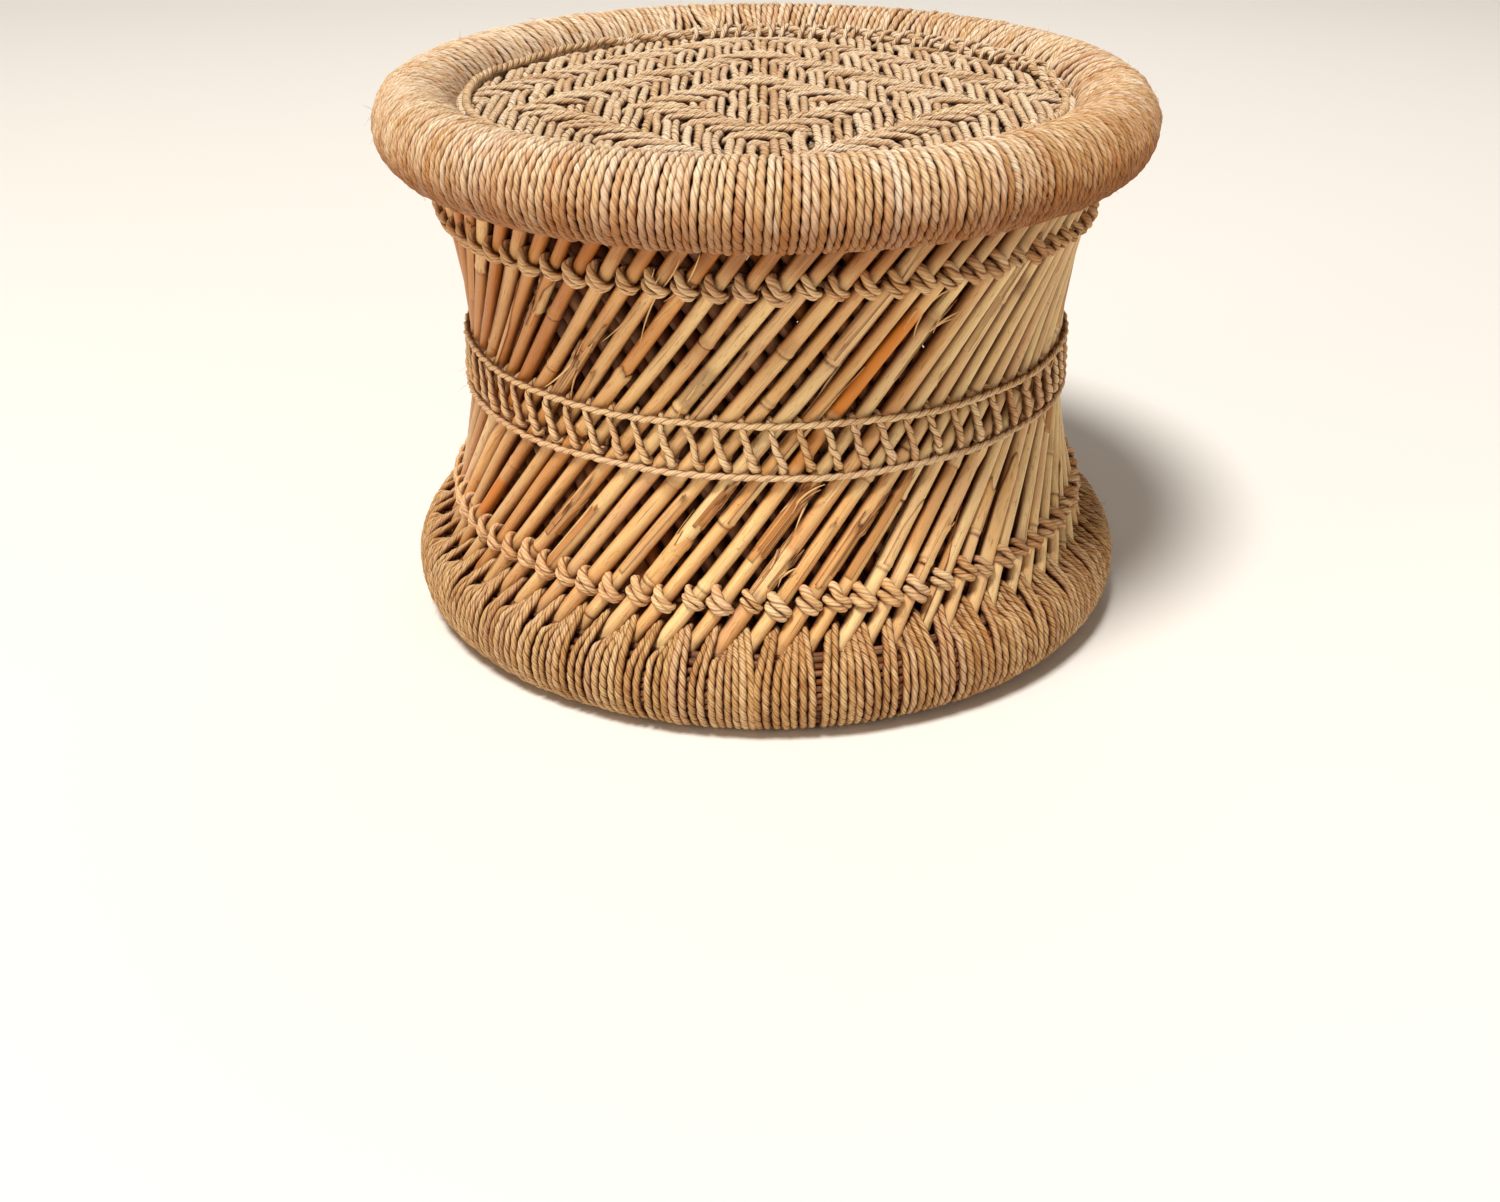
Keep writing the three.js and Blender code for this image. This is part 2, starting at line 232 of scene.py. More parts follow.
class Batch:
    """Faces of many ropes or reeds that become one object."""

    def __init__(self):
        self.verts, self.look, self.corners, self.uv, self.sizes = [], [], [], [], []
        self.count = 0

    def sweep(self, centre, out, radius, sides, look, twist=0.0, lobe=0.0, closed=False,
              floor=None, painted_shading=0.0, rim=0.74):
        """Tubes round centre lines (rows, points, 3). out is the way that angle 0 faces, lobe is
        how far the two plies of a rope stand apart, and twist turns the section. painted_shading
        is how strong the painted shade is on what doesn't face out, as between ropes that lie side
        by side, from where the cosine of the angle is rim, with a painted highlight on what faces
        out."""
        rows, points = centre.shape[:2]
        if closed:
            tangent = np.roll(centre, -1, 1) - np.roll(centre, 1, 1)
        else:
            tangent = np.gradient(centre, axis=1)
        tangent = unit(tangent)
        normal = square_to(tangent, np.broadcast_to(out, centre.shape))
        side = np.cross(tangent, normal)
        angle = TAU * np.arange(sides) / sides

        def each(value):
            return np.broadcast_to(value, (rows, points))[..., None]

        theta = angle + each(twist)
        shape = lobe * np.abs(np.cos(angle))
        shape = shape + np.sqrt((1 - lobe) ** 2 - (lobe * np.sin(angle)) ** 2)
        reach = each(radius) * shape
        verts = centre[:, :, None] + (reach * np.cos(theta))[..., None] * normal[:, :, None]
        verts = verts + (reach * np.sin(theta))[..., None] * side[:, :, None]
        if floor is not None:
            raise_to(verts[..., 2], floor)
        along = length_along(centre)
        if closed:
            last = np.linalg.norm(centre[:, 0] - centre[:, -1], axis=1)
            along = np.concatenate([along, along[:, -1:] + last[:, None]], axis=1)
        look = np.repeat(np.broadcast_to(look, (rows, points, 4))[:, :, None], sides, axis=2)
        # Painted shade where the tube turns away from out, as between ropes side by side, and a
        # painted highlight where it faces out
        if painted_shading:
            tone, _, dark, _ = parts(look)
            raise_to(dark, painted_shading * fall(np.cos(theta), each(rim), each(rim)))
            tone += 0.26 * painted_shading * rise(np.cos(theta), 0.6, 0.4)
        self.loft(verts, look, along, closed)

    def loft(self, verts, look, along, closed=False, folded=False):
        """Closed sections (rows, points, sides, 3) joined along each row. A folded section
        runs along a strip and back on its inner side, so its ends close with four-sided faces."""
        rows, points, sides = verts.shape[:3]
        self.verts.append(verts.reshape(-1, 3))
        self.look.append(np.broadcast_to(look, (rows, points, sides, 4)).reshape(-1, 4))
        r, i, k = np.meshgrid(np.arange(rows), np.arange(points if closed else points - 1),
                              np.arange(sides), indexing="ij")
        base = self.count + r * points * sides
        steps = ((0, 0), (0, 1), (1, 1), (1, 0))
        quads = np.stack([base + (i + step) % points * sides + (k + edge) % sides
                          for step, edge in steps], axis=-1)
        uv = np.stack([np.stack([along[r, i + step], (k + edge) / sides], -1)
                       for step, edge in steps], axis=-2)
        self.face(quads.reshape(-1, 4), uv)
        if not closed:
            if folded:
                k = np.arange(sides // 2 - 1)
                ring = np.stack([k, sides - 1 - k, sides - 2 - k, k + 1], -1)
            else:
                ring = np.arange(sides)[None, ::-1]
            first = self.count + np.arange(rows)[:, None, None] * points * sides
            for point, ring in ((0, ring), (points - 1, ring[:, ::-1])):
                cap = first + point * sides + ring
                at = np.broadcast_to(along[:, point, None, None], cap.shape)
                uv = np.stack([at, np.broadcast_to(ring / sides, cap.shape)], -1)
                self.face(cap.reshape(-1, cap.shape[-1]), uv)
        self.count += rows * points * sides

    def face(self, corners, uv):
        self.corners.append(corners.reshape(-1))
        self.uv.append(uv.reshape(-1, 2))
        self.sizes.append(np.full(len(corners), corners.shape[1]))

    def make(self, name, material, node=None):
        mesh = bpy.data.meshes.new(name)
        verts = np.concatenate(self.verts) * MM
        corners = np.concatenate(self.corners).astype(np.int32)
        sizes = np.concatenate(self.sizes).astype(np.int32)
        mesh.vertices.add(len(verts))
        mesh.vertices.foreach_set("co", verts.astype(np.float32).ravel())
        mesh.loops.add(len(corners))
        mesh.loops.foreach_set("vertex_index", corners)
        mesh.polygons.add(len(sizes))
        starts = np.concatenate([[0], np.cumsum(sizes)[:-1]]).astype(np.int32)
        mesh.polygons.foreach_set("loop_start", starts)
        mesh.polygons.foreach_set("use_smooth", np.ones(len(sizes), bool))
        uv = mesh.uv_layers.new(name="run")
        uv.data.foreach_set("uv", np.concatenate(self.uv).astype(np.float32).ravel())
        look = mesh.attributes.new("look", "FLOAT_COLOR", "POINT")
        look.data.foreach_set("color", np.concatenate(self.look).astype(np.float32).ravel())
        mesh.update(calc_edges=True)
        mesh.validate()
        mesh.materials.append(material)
        piece = add_object(name, mesh)
        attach(piece, "root")
        if node:
            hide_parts(node)


def looks(rng, rows, orange=0.12, paler=0.0):
    """A look for each rope, with this much orange on average."""
    made = np.zeros((rows, 1, 4))
    made[:, 0, TONE] = np.clip(np.clip(rng.normal(0.5, 0.2, rows), 0, 1) + paler, 0, 1)
    made[:, 0, ORANGE] = np.clip(rng.exponential(orange, rows), 0, 1)
    made[:, 0, FREE] = rng.random(rows)
    return made


# Materials

def srgb(red, green, blue):
    return tuple(((c + 0.055) / 1.055) ** 2.4 if c > 0.04045 else c / 12.92
                 for c in (red / 255, green / 255, blue / 255)) + (1.0,)


class Nodes:
    """Short names for making a material's nodes and links."""

    def __init__(self, name):
        self.material = bpy.data.materials.new(name)
        self.material.use_nodes = True
        self.tree = self.material.node_tree
        self.shader = self.tree.nodes["Principled BSDF"]

    def put(self, kind, inputs=None, **settings):
        node = self.tree.nodes.new(kind)
        for key, value in settings.items():
            setattr(node, key, value)
        for key, value in (inputs or {}).items():
            self.join(value, node.inputs[key])
        return node

    def join(self, value, socket):
        if isinstance(value, bpy.types.NodeSocket):
            self.tree.links.new(value, socket)
        else:
            socket.default_value = value

    def math(self, operation, *values, clamp=False):
        node = self.put("ShaderNodeMath", operation=operation, use_clamp=clamp)
        for socket, value in zip(node.inputs, values):
            self.join(value, socket)
        return node.outputs[0]

    def times(self, a, b):
        return self.math("MULTIPLY", a, b)

    def plus(self, a, b):
        return self.math("ADD", a, b)

    def mix(self, share, a, b, blend="MIX"):
        node = self.put("ShaderNodeMix", data_type="RGBA", blend_type=blend, clamp_factor=True)
        self.join(share, node.inputs[0])
        self.join(a, node.inputs[6])
        self.join(b, node.inputs[7])
        return node.outputs[2]

    def spread(self, value, low, high, to_low=0.0, to_high=1.0):
        node = self.put("ShaderNodeMapRange", {0: value, 1: low, 2: high, 3: to_low, 4: to_high})
        return node.outputs[0]

    def ramp(self, value, *stops):
        node = self.put("ShaderNodeValToRGB", {0: value})
        band = node.color_ramp
        while len(band.elements) < len(stops):
            band.elements.new(0.5)
        for element, (place, colour) in zip(band.elements, stops):
            element.position = place
            element.color = srgb(*colour)
        return node.outputs[0]

    def run(self):
        """How far along in mm, and the share of the way round."""
        uv = self.put("ShaderNodeUVMap", uv_map="run").outputs[0]
        return self.put("ShaderNodeSeparateXYZ", {0: uv}).outputs

    def run_noise(self, along, around, lift, scale_free, detail=2.0, rough=0.5):
        """Noise that is stretched along a rope or a reed, and differs from one to the next."""
        uv = self.run()
        at = self.put("ShaderNodeCombineXYZ", {
            0: self.times(uv[0], along),
            1: self.times(uv[1], around),
            2: self.math("MULTIPLY_ADD", scale_free, 91.0, lift),
        })
        noise = self.put("ShaderNodeTexNoise", {"Vector": at.outputs[0], "Scale": 1.0,
                                                "Detail": detail, "Roughness": rough})
        return noise.outputs[0]

    def look(self):
        attribute = self.put("ShaderNodeAttribute", attribute_name="look")
        parts = self.put("ShaderNodeSeparateColor", {0: attribute.outputs["Color"]})
        return [*parts.outputs[:3], attribute.outputs["Alpha"]]

    def finish(self, colour, specular, roughness, height, strength, depth):
        inputs = self.shader.inputs
        self.join(colour, inputs["Base Color"])
        self.join(roughness, inputs["Roughness"])
        inputs["Specular IOR Level"].default_value = specular
        bump = self.put("ShaderNodeBump", {"Height": height, "Strength": strength,
                                           "Distance": depth})
        self.join(bump.outputs[0], inputs["Normal"])
        return self.material


def rope_material(name, pale, middle, deep, orange_colour, straw, cut, strands):
    """Two plies of twisted grass: each has its own tone, with fibres along it and a dark groove
    on either side, where v is a quarter and three quarters round the rope. straw is how far some
    plies are yellower, cut is how dark the groove is, and strands how clear the six strands."""
    n = Nodes(name)
    tone, orange, dark, free = n.look()
    around = n.run()[1]
    lobe = n.math("COSINE", n.times(around, TAU))
    ply = n.math("GREATER_THAN", lobe, 0.0)
    seed = n.plus(free, n.times(ply, 0.37))
    groove = n.spread(n.math("ABSOLUTE", lobe), 0.06, 0.5, 1.0, 0.0)
    twisted = n.math("MULTIPLY_ADD", n.math("FRACT", n.times(free, 3.1)), 0.75, 0.25)
    groove = n.times(groove, twisted)
    strand = n.math("COSINE", n.times(around, 6 * TAU))
    strand = n.times(n.spread(strand, -1.0, -0.1, 1.0, 0.0), strands)
    slow = n.run_noise(0.05, 0.8, 3.0, seed)
    fibres = n.run_noise(0.14, 14.0, 9.0, seed, 3.0, 0.62)
    fine = n.run_noise(0.42, 52.0, 5.0, seed, 2.0, 0.6)
    value = n.plus(tone, n.spread(slow, 0.25, 0.75, -0.34, 0.34))
    value = n.plus(value, n.spread(fibres, 0.3, 0.7, -0.34, 0.3))
    colour = n.ramp(value, (0.0, deep), (0.5, middle), (1.0, pale))
    hue = n.math("FRACT", n.times(seed, 5.3))
    colour = n.mix(n.spread(hue, 0.45, 1.0, 0.0, straw), colour, srgb(220, 186, 122))
    colour = n.mix(n.spread(hue, 0.35, 0.0, 0.0, 0.35), colour, srgb(218, 184, 156))
    blotch = n.run_noise(0.04, 1.0, 17.0, seed)
    warm = n.math("ADD", orange, n.spread(blotch, 0.54, 0.76, 0.0, 0.55), clamp=True)
    colour = n.mix(n.times(warm, 0.7), colour, srgb(*orange_colour))
    lines = n.spread(fine, 0.3, 0.46, 0.6, 0.0)
    colour = n.mix(lines, colour, srgb(136, 84, 44), "MULTIPLY")
    # Painted shade in the grooves between the plies and between the six strands
    colour = n.mix(n.times(groove, cut), colour, srgb(138, 80, 40), "MULTIPLY")
    colour = n.mix(strand, colour, srgb(158, 100, 56), "MULTIPLY")
    # The look's dark number is painted shade on the ropes, mixed towards dark brown
    colour = n.mix(dark, colour, srgb(88, 38, 13))
    roughness = n.spread(fibres, 0.2, 0.8, 0.8, 0.52)
    height = n.plus(n.times(fibres, 0.6), n.times(fine, 0.4))
    height = n.math("SUBTRACT", height, n.times(groove, 0.5))
    height = n.math("SUBTRACT", height, n.times(strand, 0.6))
    return n.finish(colour, 0.16, roughness, height, 0.8, 0.0007)


def cane_material(name, pale, middle, deep, gloss=0.36):
    n = Nodes(name)
    tone, orange, dark, free = n.look()
    slow = n.run_noise(0.012, 1.0, 3.0, free)
    streak = n.run_noise(0.03, 9.0, 7.0, free, 3.0, 0.6)
    fine = n.run_noise(0.12, 40.0, 11.0, free, 2.0, 0.55)
    spots = n.run_noise(0.4, 7.0, 23.0, free, 2.0, 0.6)
    value = n.plus(tone, n.spread(slow, 0.25, 0.75, -0.24, 0.24))
    value = n.plus(value, n.spread(streak, 0.3, 0.7, -0.16, 0.16))
    colour = n.ramp(value, (0.0, deep), (0.45, middle), (1.0, pale))
    blush = n.run_noise(0.02, 2.0, 31.0, free)
    rosy = n.math("FRACT", n.times(free, 7.3))
    rosy = n.math("MULTIPLY_ADD", rosy, 0.42, n.spread(blush, 0.45, 0.75, -0.18, 0.26), clamp=True)
    rosy = n.math("MULTIPLY", rosy, n.spread(orange, 0.0, 0.4, 1.2, 0.0), clamp=True)
    colour = n.mix(rosy, colour, srgb(214, 164, 124))
    scratch = n.run_noise(0.022, 30.0, 43.0, free)
    colour = n.mix(n.spread(scratch, 0.24, 0.36, 0.65, 0.0), colour, srgb(128, 74, 38), "MULTIPLY")
    colour = n.mix(n.spread(fine, 0.28, 0.44, 0.5, 0.0), colour, srgb(140, 84, 40), "MULTIPLY")
    colour = n.mix(n.spread(spots, 0.66, 0.78, 0.0, 0.55), colour, srgb(128, 76, 42))
    colour = n.mix(orange, colour, srgb(222, 132, 36))
    # The look's dark number: dark joint rings and stains, and painted shade below the top ring and
    # along the reeds' edges
    ragged = n.math("MULTIPLY", dark, n.spread(streak, 0.3, 0.62, 0.65, 1.3), clamp=True)
    colour = n.mix(ragged, colour, srgb(100, 44, 16))
    roughness = n.spread(streak, 0.2, 0.8, 0.36, 0.54)
    height = n.plus(n.times(streak, 0.5), n.times(fine, 0.5))
    return n.finish(colour, gloss, roughness, height, 0.3, 0.0005)


ROPE = rope_material("two_ply_rope", (252, 238, 212), (230, 196, 154), (184, 137, 88),
                     (200, 124, 56), 0.32, 0.5, 0.3)
BASE_ROPE = rope_material("base_rope", (238, 208, 160), (210, 168, 114), (164, 115, 68),
                          (190, 124, 60), 0.25, 0.75, 0.5)
SEAT_ROPE = rope_material("seat_rope", (252, 238, 210), (236, 208, 170), (190, 152, 112),
                          (212, 162, 116), 0.25, 0.95, 0.5)
TIE_ROPE = rope_material("tie_rope", (252, 222, 174), (230, 186, 132), (186, 130, 78),
                         (206, 134, 72), 0.14, 0.8, 0.36)
CANE = cane_material("reed", (244, 210, 150), (222, 168, 104), (186, 120, 60))
# Painted shade: the inner canes are coloured much darker than the outer ones, for the shade within
# the drum
SHADED_INNER_CANE = cane_material("inner_reed_painted_shade", (118, 62, 32), (84, 42, 22), (52, 26, 14), 0.08)
CORE = cane_material("core_reed", (128, 72, 46), (92, 48, 30), (58, 28, 17), 0.2)

# A two-ply rope's plies run down to the right on a hanging rope
HAND = -1.0


def plied(centre, lay, rng=None):
    """Twist angle along ropes whose plies go round once in each lay, from random starts."""
    phase = rng.random((len(centre), 1)) * TAU if rng else 0.0
    return phase + HAND * TAU * length_along(centre) / lay


def fuzz(batch, rng, centre, out, radius, count, longest=9.0):
    """Loose grass fibres that stand off a rope, rooted in it."""
    rows, points = centre.shape[:2]
    row = rng.integers(0, rows, count)
    at = rng.integers(3, points - 3, count)
    tangent = unit(centre[row, at + 1] - centre[row, at - 1])
    normal = square_to(tangent, np.broadcast_to(out, centre.shape)[row, at])
    side = np.cross(tangent, normal)
    turn = rng.uniform(-1.2, 1.2, (count, 1))
    face = np.cos(turn) * normal + np.sin(turn) * side
    thick = np.broadcast_to(radius, (rows, points))[row, at][:, None]
    root = centre[row, at] + face * thick * 0.7
    way = np.where(rng.random((count, 1)) < 0.5, -1.0, 1.0)
    heading = tangent * way * rng.uniform(0.5, 1, (count, 1))
    heading = heading + face * rng.uniform(0.2, 0.8, (count, 1))
    heading = unit(heading + side * rng.normal(0, 0.4, (count, 1)))
    length = np.clip(rng.gamma(2.4, 1.5, (count, 1)), 1.5, longest)
    bend = rng.normal(0, 0.22, (count, 3)) * length - np.array([0, 0, 0.1]) * length
    t = np.linspace(0, 1, 5)[None, :, None]
    line = root[:, None] + heading[:, None] * length[:, None] * t + bend[:, None] * t ** 2
    raise_to(line[..., 2], 0.3)
    fine = rng.uniform(0.07, 0.16, (count, 1)) * (1 - 0.6 * t[..., 0])
    batch.sweep(line, face[:, None], fine, 4, looks(rng, count, 0.2, 0.25))


# Windings of the two rings

SECTORS = 8

# From where to where a turn runs round the top ring, in degrees from its outer side
TOP_TURN = (-118, 232)

# The gaps whose bunch has six turns, and how high the point of a bunch is
SIX_TURNS = (9, 27, 45, 61)
POINT_HEIGHT = 55.0


def section_point(ring, distance, angle, azimuth):
    return polar(ring["radius"] + distance * np.cos(angle), azimuth,
                 ring["height"] + distance * np.sin(angle))


def wind(name, node, material, rng, sectors, centre, out, thick, look, twist, lobe, rim, shown,
         fibres, longest=9.0, floor=None):
    """Turns of rope as one piece for each sector of the ring, with fibres where they show."""
    for number, own in enumerate(sectors):
        batch = Batch()
        batch.sweep(centre[own], out[own], thick[own], 10, look[own], twist[own], lobe,
                    floor=floor, painted_shading=1.0, rim=rim)
        fuzz(batch, rng, centre[own, shown], out[own, shown], thick[own, shown], fibres, longest)
        batch.make(f"{name}_{number + 1}", material, node)


def top_winding(loops=311, points=96):
    rng = np.random.default_rng(11)
    radius = np.clip(TOP_SIZE * vary(rng, 0.1, loops), 1.85, 2.9)
    spans = radius + np.roll(radius, -1)
    azimuth = np.concatenate([[0], np.cumsum(spans)[:-1]]) / spans.sum() * TAU
    angle = np.radians(np.linspace(*TOP_TURN, points))[None]
    degrees = np.degrees(angle)
    around = azimuth[:, None] + (degrees - 90) / 360 * TAU / loops * 1.6
    around = around + wander(rng, loops, points, 5, 0.0011) + rng.normal(0, 0.0004, (loops, 1))
    gap_at = travel(OUTER, 270.0) + PITCH / 2
    nearest = gap_at + np.round((around - gap_at) / PITCH) * PITCH
    pull = fall(degrees, -66, 46) * 0.7
    around = around + pull * (nearest - around)
    bunched = wander(rng, 1, loops, loops // 4, 0.011)[0]
    around = around + bunched[:, None] * rise(degrees, 104, 52)
    reach = RING_SIZE - TOP_SIZE
    # The ring is a little flat on its inner top side
    flat = 1.7 * bell(degrees - 118, 38)
    crowd = np.clip((212 - (TOP_RING["radius"] + reach * np.cos(angle))) / 40, 0, 1)
    over = np.where(np.arange(loops) % 2 == 0, 0.6, -0.6)[:, None] + rng.normal(0, 0.2, (loops, 1))
    distance = reach - flat + crowd * over + wander(rng, loops, points, 7, 0.16)
    distance = distance - fall(degrees, -98, 22) * 7 - rise(degrees, 214, 20) * 7
    centre = section_point(TOP_RING, distance, angle, around)
    out = polar(np.cos(angle), around, np.sin(angle))
    thick = 1.045 * radius[:, None] * (1 - 0.08 * crowd)
    thick = thick * (1 + wander(rng, loops, points, 9, 0.045))
    twist = plied(centre, TOP_LAY * vary(rng, 0.24, (loops, 1)), rng)
    look = np.repeat(looks(rng, loops, 0.09), points, axis=1)
    tone, orange, dark, _ = parts(look)
    # Painted highlight: the ropes are paler on the upper side of the ring
    tone[:] = 0.4 + 0.7 * (tone - 0.5) + 0.22 * rise(degrees, 20, 50)
    right, left = right_left(around)
    # Painted shade: the ropes are darker to the right and at the back of the ring
    tone -= 0.3 * right + 0.16 * towards(around, BACK_SIDE)
    # Painted shade: more orange and darker on the ring's underside, most to the right
    orange += 0.7 * fall(degrees, 35, 75)
    orange += 0.2 * right * fall(degrees, 60, 40)
    below = fall(degrees, 15, 55)
    dark += below * (0.34 + 0.24 * right)
    # Painted shade on the ring's inner side towards the left, and a little all round the left
    inner = rise(degrees, 112, 36)
    dark += 0.28 * inner * towards(around, math.pi, 85)
    dark += 0.1 * left
    sectors = [slice(loops * s // SECTORS, loops * (s + 1) // SECTORS) for s in range(SECTORS)]
    wind("top_winding", "top_ring_wrap", ROPE, rng, sectors, centre, out, thick, look, twist, 0.24,
         0.84 + 0.14 * inner, slice(14, points - 14), 90)


# Winding of the base ring: bunches of two and of five turns, each drawn to a point between canes

def base_winding(points=118):
    rng = np.random.default_rng(23)
    bunches = [2 if gap % 2 == 0 else 6 if gap in SIX_TURNS else 5 for gap in range(CANES)]
    gap_of = np.repeat(np.arange(CANES), bunches)
    order = np.concatenate([np.arange(n) for n in bunches])
    many = np.repeat(bunches, bunches)
    ropes = len(gap_of)
    radius = np.clip(BASE_SIZE * vary(rng, 0.06, ropes), 2.05, 2.6)
    spacing = np.where(many == 6, 4.3, 4.86) / (BASE_RING["radius"] + RING_SIZE)
    shift = rng.normal(0, 0.0028, CANES)[gap_of]
    gap_azimuth = gap_of * PITCH + PITCH / 2
    # On the ring's face a bunch lies 4.5 mm to the left of its gap
    face = gap_azimuth + travel(OUTER, 50.0) - 4.5 / 216 + shift
    face = face + (order - (many - 1) / 2) * spacing + rng.normal(0, 0.0008, ropes)
    left = many - 1 - order
    end_height = POINT_HEIGHT - 2.3 * left + rng.normal(0, 0.5, ropes)
    end_azimuth = gap_azimuth + travel(OUTER, end_height) + rng.normal(0, 0.002, ropes)
    end_azimuth = end_azimuth - 0.0035 * left ** 1.45
    end_radius = axis_radius(OUTER, end_height)
    reach = RING_SIZE - TOP_SIZE
    stops = [
        (end_radius - 8, end_azimuth + 0.004, end_height - 3.0),
        (end_radius - 1.0, end_azimuth, end_height + 0.6),
        (end_radius + 4.6, 0.72 * end_azimuth + 0.28 * face, end_height - 2.4),
    ]

    def stop_on_ring(degrees, azimuth, extra=0.0):
        angle = math.radians(degrees)
        stops.append((BASE_RING["radius"] + (reach + extra) * math.cos(angle), azimuth,
                      BASE_RING["height"] + (reach + extra) * math.sin(angle)))

    for degrees, share, extra in ((50, 0.74, 1.6), (34, 0.92, 0.9), (17, 1.0, 0.4)):
        stop_on_ring(degrees, end_azimuth + share * (face - end_azimuth), extra)
    inside = gap_azimuth + travel(OUTER, 50.0) + (order - (many - 1) / 2) * spacing * 0.98
    for degrees in (0, -18, -36, -54, -72, -90, -106, -124, -142, -160, -178, -196, -214, -228):
        share = min(1, max(0, -degrees - 20) / 150)
        stop_on_ring(degrees, face + share * (inside - face))
    last_radius, last_azimuth, last_height = stops[-1]
    stops.append((last_radius + 6, last_azimuth, last_height - 1))
    centre = through(np.stack([polar(*stop) for stop in stops], axis=1), points)
    centre = centre + round_stool(centre) * wander(rng, ropes, points, 7, 0.14)[..., None]
    azimuth = np.arctan2(centre[..., 1], centre[..., 0])
    hub = polar(BASE_RING["radius"], azimuth, BASE_RING["height"])
    out = unit(centre - hub)
    thick = radius[:, None] * (1 + wander(rng, ropes, points, 12, 0.035))
    twist = plied(centre, BASE_LAY * vary(rng, 0.2, (ropes, 1)), rng)
    look = looks(rng, ropes, 0.1)
    tone, _, dark, _ = parts(look)
    # Painted shade between the ropes reaches wider near the points of the bunches, where they
    # converge
    rim = 0.98 - 0.15 * rise(np.linspace(0, 1, points)[None], 0.14, 0.16)
    tone[:] = 0.4 + 0.75 * (tone - 0.5)
    # Darker to the right and the left, paler to the left: partly painted shade and light
    right, left = right_left(face[:, None])
    tone += 0.08 * left
    dark += 0.12 * right
    dark += 0.12 * left
    sectors = [gap_of * SECTORS // CANES == s for s in range(SECTORS)]
    wind("base_winding", "base_ring_wrap", BASE_ROPE, rng, sectors, centre, out, thick, look, twist,
         0.2, rim, slice(4, points // 2), 110, 7.0, 0.0)


def base_core(reeds=15, points=420):
    """Reddish reeds along the base ring, seen in the gaps of its winding."""
    rng = np.random.default_rng(29)
    batch = Batch()
    angle = np.radians(np.linspace(-75, 72, reeds))[:, None]
    azimuth = circle(points)
    swing = rng.normal(0, 0.05, (reeds, 1)) * np.sin(azimuth * 3 + rng.random((reeds, 1)) * TAU)
    distance = 19.9 + 0.35 * np.sin(azimuth * 7 + rng.random((reeds, 1)) * TAU)
    centre = section_point(BASE_RING, distance, angle + swing, azimuth)
    out = polar(np.cos(angle), azimuth, np.sin(angle))
    batch.sweep(centre, out, 1.85 + wander(rng, reeds, points, 90, 0.14), 6,
                looks(rng, reeds, 0.1), closed=True)
    batch.make("base_core_reeds", CORE)


# Canes

CANE_LENGTH = (CANE_TOP - CANE_BOTTOM - 2) * math.hypot(1, OUTER["lean"])
JOINT_OFFSETS = np.array([-7.0, -4.2, -3.0, -2.2, -1.4, -0.6, 0.0, 0.7, 1.6, 2.8, 4.6, 7.5])

# Marks on single canes as the photograph shows them: from and to along the cane in mm, which
# number of the look they raise, and to what
MARKS = {
    59: [(176, 246, ORANGE, 0.95), (140, 168, ORANGE, 0.7), (140, 168, DARK, 0.12)],
    66: [(70, 126, ORANGE, 0.4), (72, 124, DARK, 0.2)],
    48: [(54, 92, ORANGE, 1.0), (54, 92, DARK, 0.22)],
    60: [(78, 130, ORANGE, 0.35), (80, 126, DARK, 0.4)],
    53: [(182, 214, DARK, 0.42)],
    56: [(186, 190, DARK, 0.6)],
    47: [(150, 190, DARK, 0.2), (150, 200, ORANGE, 0.3)],
    62: [(60, 120, ORANGE, 0.25)],
    61: [(48, 84, TONE, 1.0)],
}
ORANGE_REED = 59

# Joints that the photograph shows, along their canes in mm
SEEN_JOINTS = {55: 224, 57: 216, 58: 102, 45: 232, 63: 239, 46: 233, 59: 176, 56: 187, 60: 240,
               53: 181, 66: 126, 48: 214}

# Frayed reeds: cane, where the fraying starts in mm, strips, their length and their tone
FRAYED = [(60, 76, 8, 50, 0.35), (48, 166, 6, 60, 0.8), (57, 96, 4, 30, 0.5),
          (61, 52, 6, 34, 0.95), (52, 70, 4, 44, 0.6), (45, 222, 4, 34, 0.3), (63, 60, 5, 60, 0.7),
          (12, 150, 6, 50, 0.6), (24, 90, 5, 60, 0.5), (33, 200, 5, 40, 0.7),
          (71, 120, 5, 50, 0.6), (3, 210, 5, 40, 0.5)]

# Slivers that stand off a reed: cane, place along it in mm, how many, and their length
SLIVERS = [(48, 200, 5, 26), (60, 236, 3, 18), (60, 118, 5, 22), (61, 72, 4, 15),
           (49, 262, 6, 34), (50, 268, 4, 26), (59, 250, 3, 16), (62, 205, 2, 14),
           (53, 190, 2, 16), (12, 180, 4, 24), (24, 120, 4, 26), (33, 222, 4, 22),
           (71, 150, 4, 24), (3, 235, 3, 20), (18, 60, 3, 18), (39, 140, 3, 20)]


def cane_height(share):
    return CANE_BOTTOM + 1 + (CANE_TOP - CANE_BOTTOM - 2) * share


